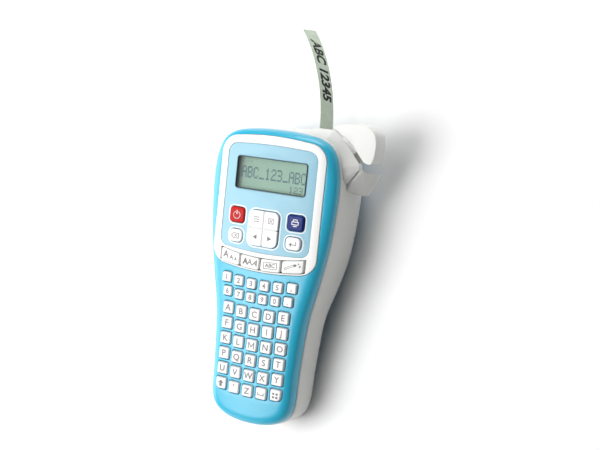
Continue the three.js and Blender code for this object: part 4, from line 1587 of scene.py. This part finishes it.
def works():
    """Materials of the CAD nodes that are shown as they are."""
    # The key mat's dark teal is painted shade seen through the gaps round the keys.
    dress(KEY_MAT_PAINTED_SHADE, "key_mat")
    dress(BOARD, "main_board")
    dress(STEEL, "drive_motor", "roller_holder", "print_head", "cutter_blade", "lever_pin", "lever_spring")
    dress(STEEL, *(f"case_screw_{i}" for i in range(1, 5)))
    dress(GEAR_CREAM, "motor_pinion", "idler_gear", "cross_gear", "ribbon_drive_cam", "take_up_spool")
    dress(RUBBER_BLACK, "platen_roller", "ribbon_spool")
    dress(CASSETTE_SMOKE, "cassette_base", "cassette_lid")
    dress(TAPE_FACE, "tape_spool")


# ------------------------------------------------------------------ floor, light and camera


# Lights in the frame's metres and in watts. The eye and its axes are in the device's own axes.
LIGHTS = {
    "key_light": {"position": (-0.3, 0.35, 1.3), "size": 1.0, "power": 5},
    "sheen_light": {"position": (-0.65, -0.36, 1.3), "size": 1.05, "power": 18},
    "side_light": {"position": (-1.47, -0.25, 0.42), "size": 1.2, "power": 14},
    "top_light": {"position": (0.0, 1.5, 0.55), "size": 1.0, "power": 14},
    "low_light": {"position": (-0.8, -1.5, 0.45), "size": 1.1, "power": 5},
}
LIGHT_TARGET = Vector((0, 0, 0.04))
WORLD_STRENGTH = 0.07
FLOOR_HALF = 3.0
LENS = 67.5
EYE = (357.46, 154.08, 676.94)
EYE_RIGHT = (0.8885, 0.1036, -0.4470)
EYE_UP = (-0.1440, 0.9879, -0.0573)
EYE_FORWARD = (-0.4357, -0.1153, -0.8927)


def floor():
    finish = Finish("floor_paper")
    finish.tint(finish.noise(9, 4), colour(250, 250, 250), colour(253, 253, 253))
    finish.roughen(finish.noise(60, 3), 0.8, 0.9)
    mesh = bpy.data.meshes.new("floor")
    corners = [(x * FLOOR_HALF, y * FLOOR_HALF, 0) for x, y in ((-1, -1), (1, -1), (1, 1), (-1, 1))]
    mesh.from_pydata(corners, [], [(0, 1, 2, 3)])
    mesh.materials.append(finish.material)
    plane = bpy.data.objects.new("floor", mesh)
    bpy.context.scene.collection.objects.link(plane)


def area_light(name, position, size, power):
    data = bpy.data.lights.new(name, "AREA")
    data.shape = "DISK"
    data.size = size
    data.energy = power
    light = bpy.data.objects.new(name, data)
    light.location = position
    direction = LIGHT_TARGET - Vector(position)
    light.rotation_euler = direction.to_track_quat("-Z", "Y").to_euler()
    bpy.context.scene.collection.objects.link(light)


def studio():
    scene = bpy.context.scene
    scene.view_settings.view_transform = "Standard"
    world = bpy.data.worlds.new("studio")
    world.use_nodes = True
    background = world.node_tree.nodes["Background"]
    background.inputs["Color"].default_value = (1, 1, 1, 1)
    background.inputs["Strength"].default_value = WORLD_STRENGTH
    scene.world = world
    for name, light in LIGHTS.items():
        area_light(name, **light)


def camera():
    """Camera whose place and axes are given in the device's own axes."""
    data = bpy.data.cameras.new("camera")
    data.lens = LENS
    data.sensor_width = 36
    data.clip_start = 0.01
    eye = bpy.data.objects.new("camera", data)
    bpy.context.scene.collection.objects.link(eye)
    turn = Matrix.Rotation(LEAN, 3, "X")
    axes = [turn @ Vector(EYE_RIGHT), turn @ Vector(EYE_UP), turn @ -Vector(EYE_FORWARD)]
    eye.matrix_world = Matrix.Translation(DEVICE @ Vector(EYE)) @ Matrix(axes).transposed().to_4x4()
    bpy.context.scene.camera = eye


front_cover()
bezel_ring()
face_panel()
key_halos()
key_rows()
head_keys()
nav_keys()
nav_cross()
format_keys()
display_module()
display_window()
rear_case()
back_cover()
rubber_foot()
cutter_lever()
label_tape()
batteries()
power_socket()
works()
floor()
studio()
camera()
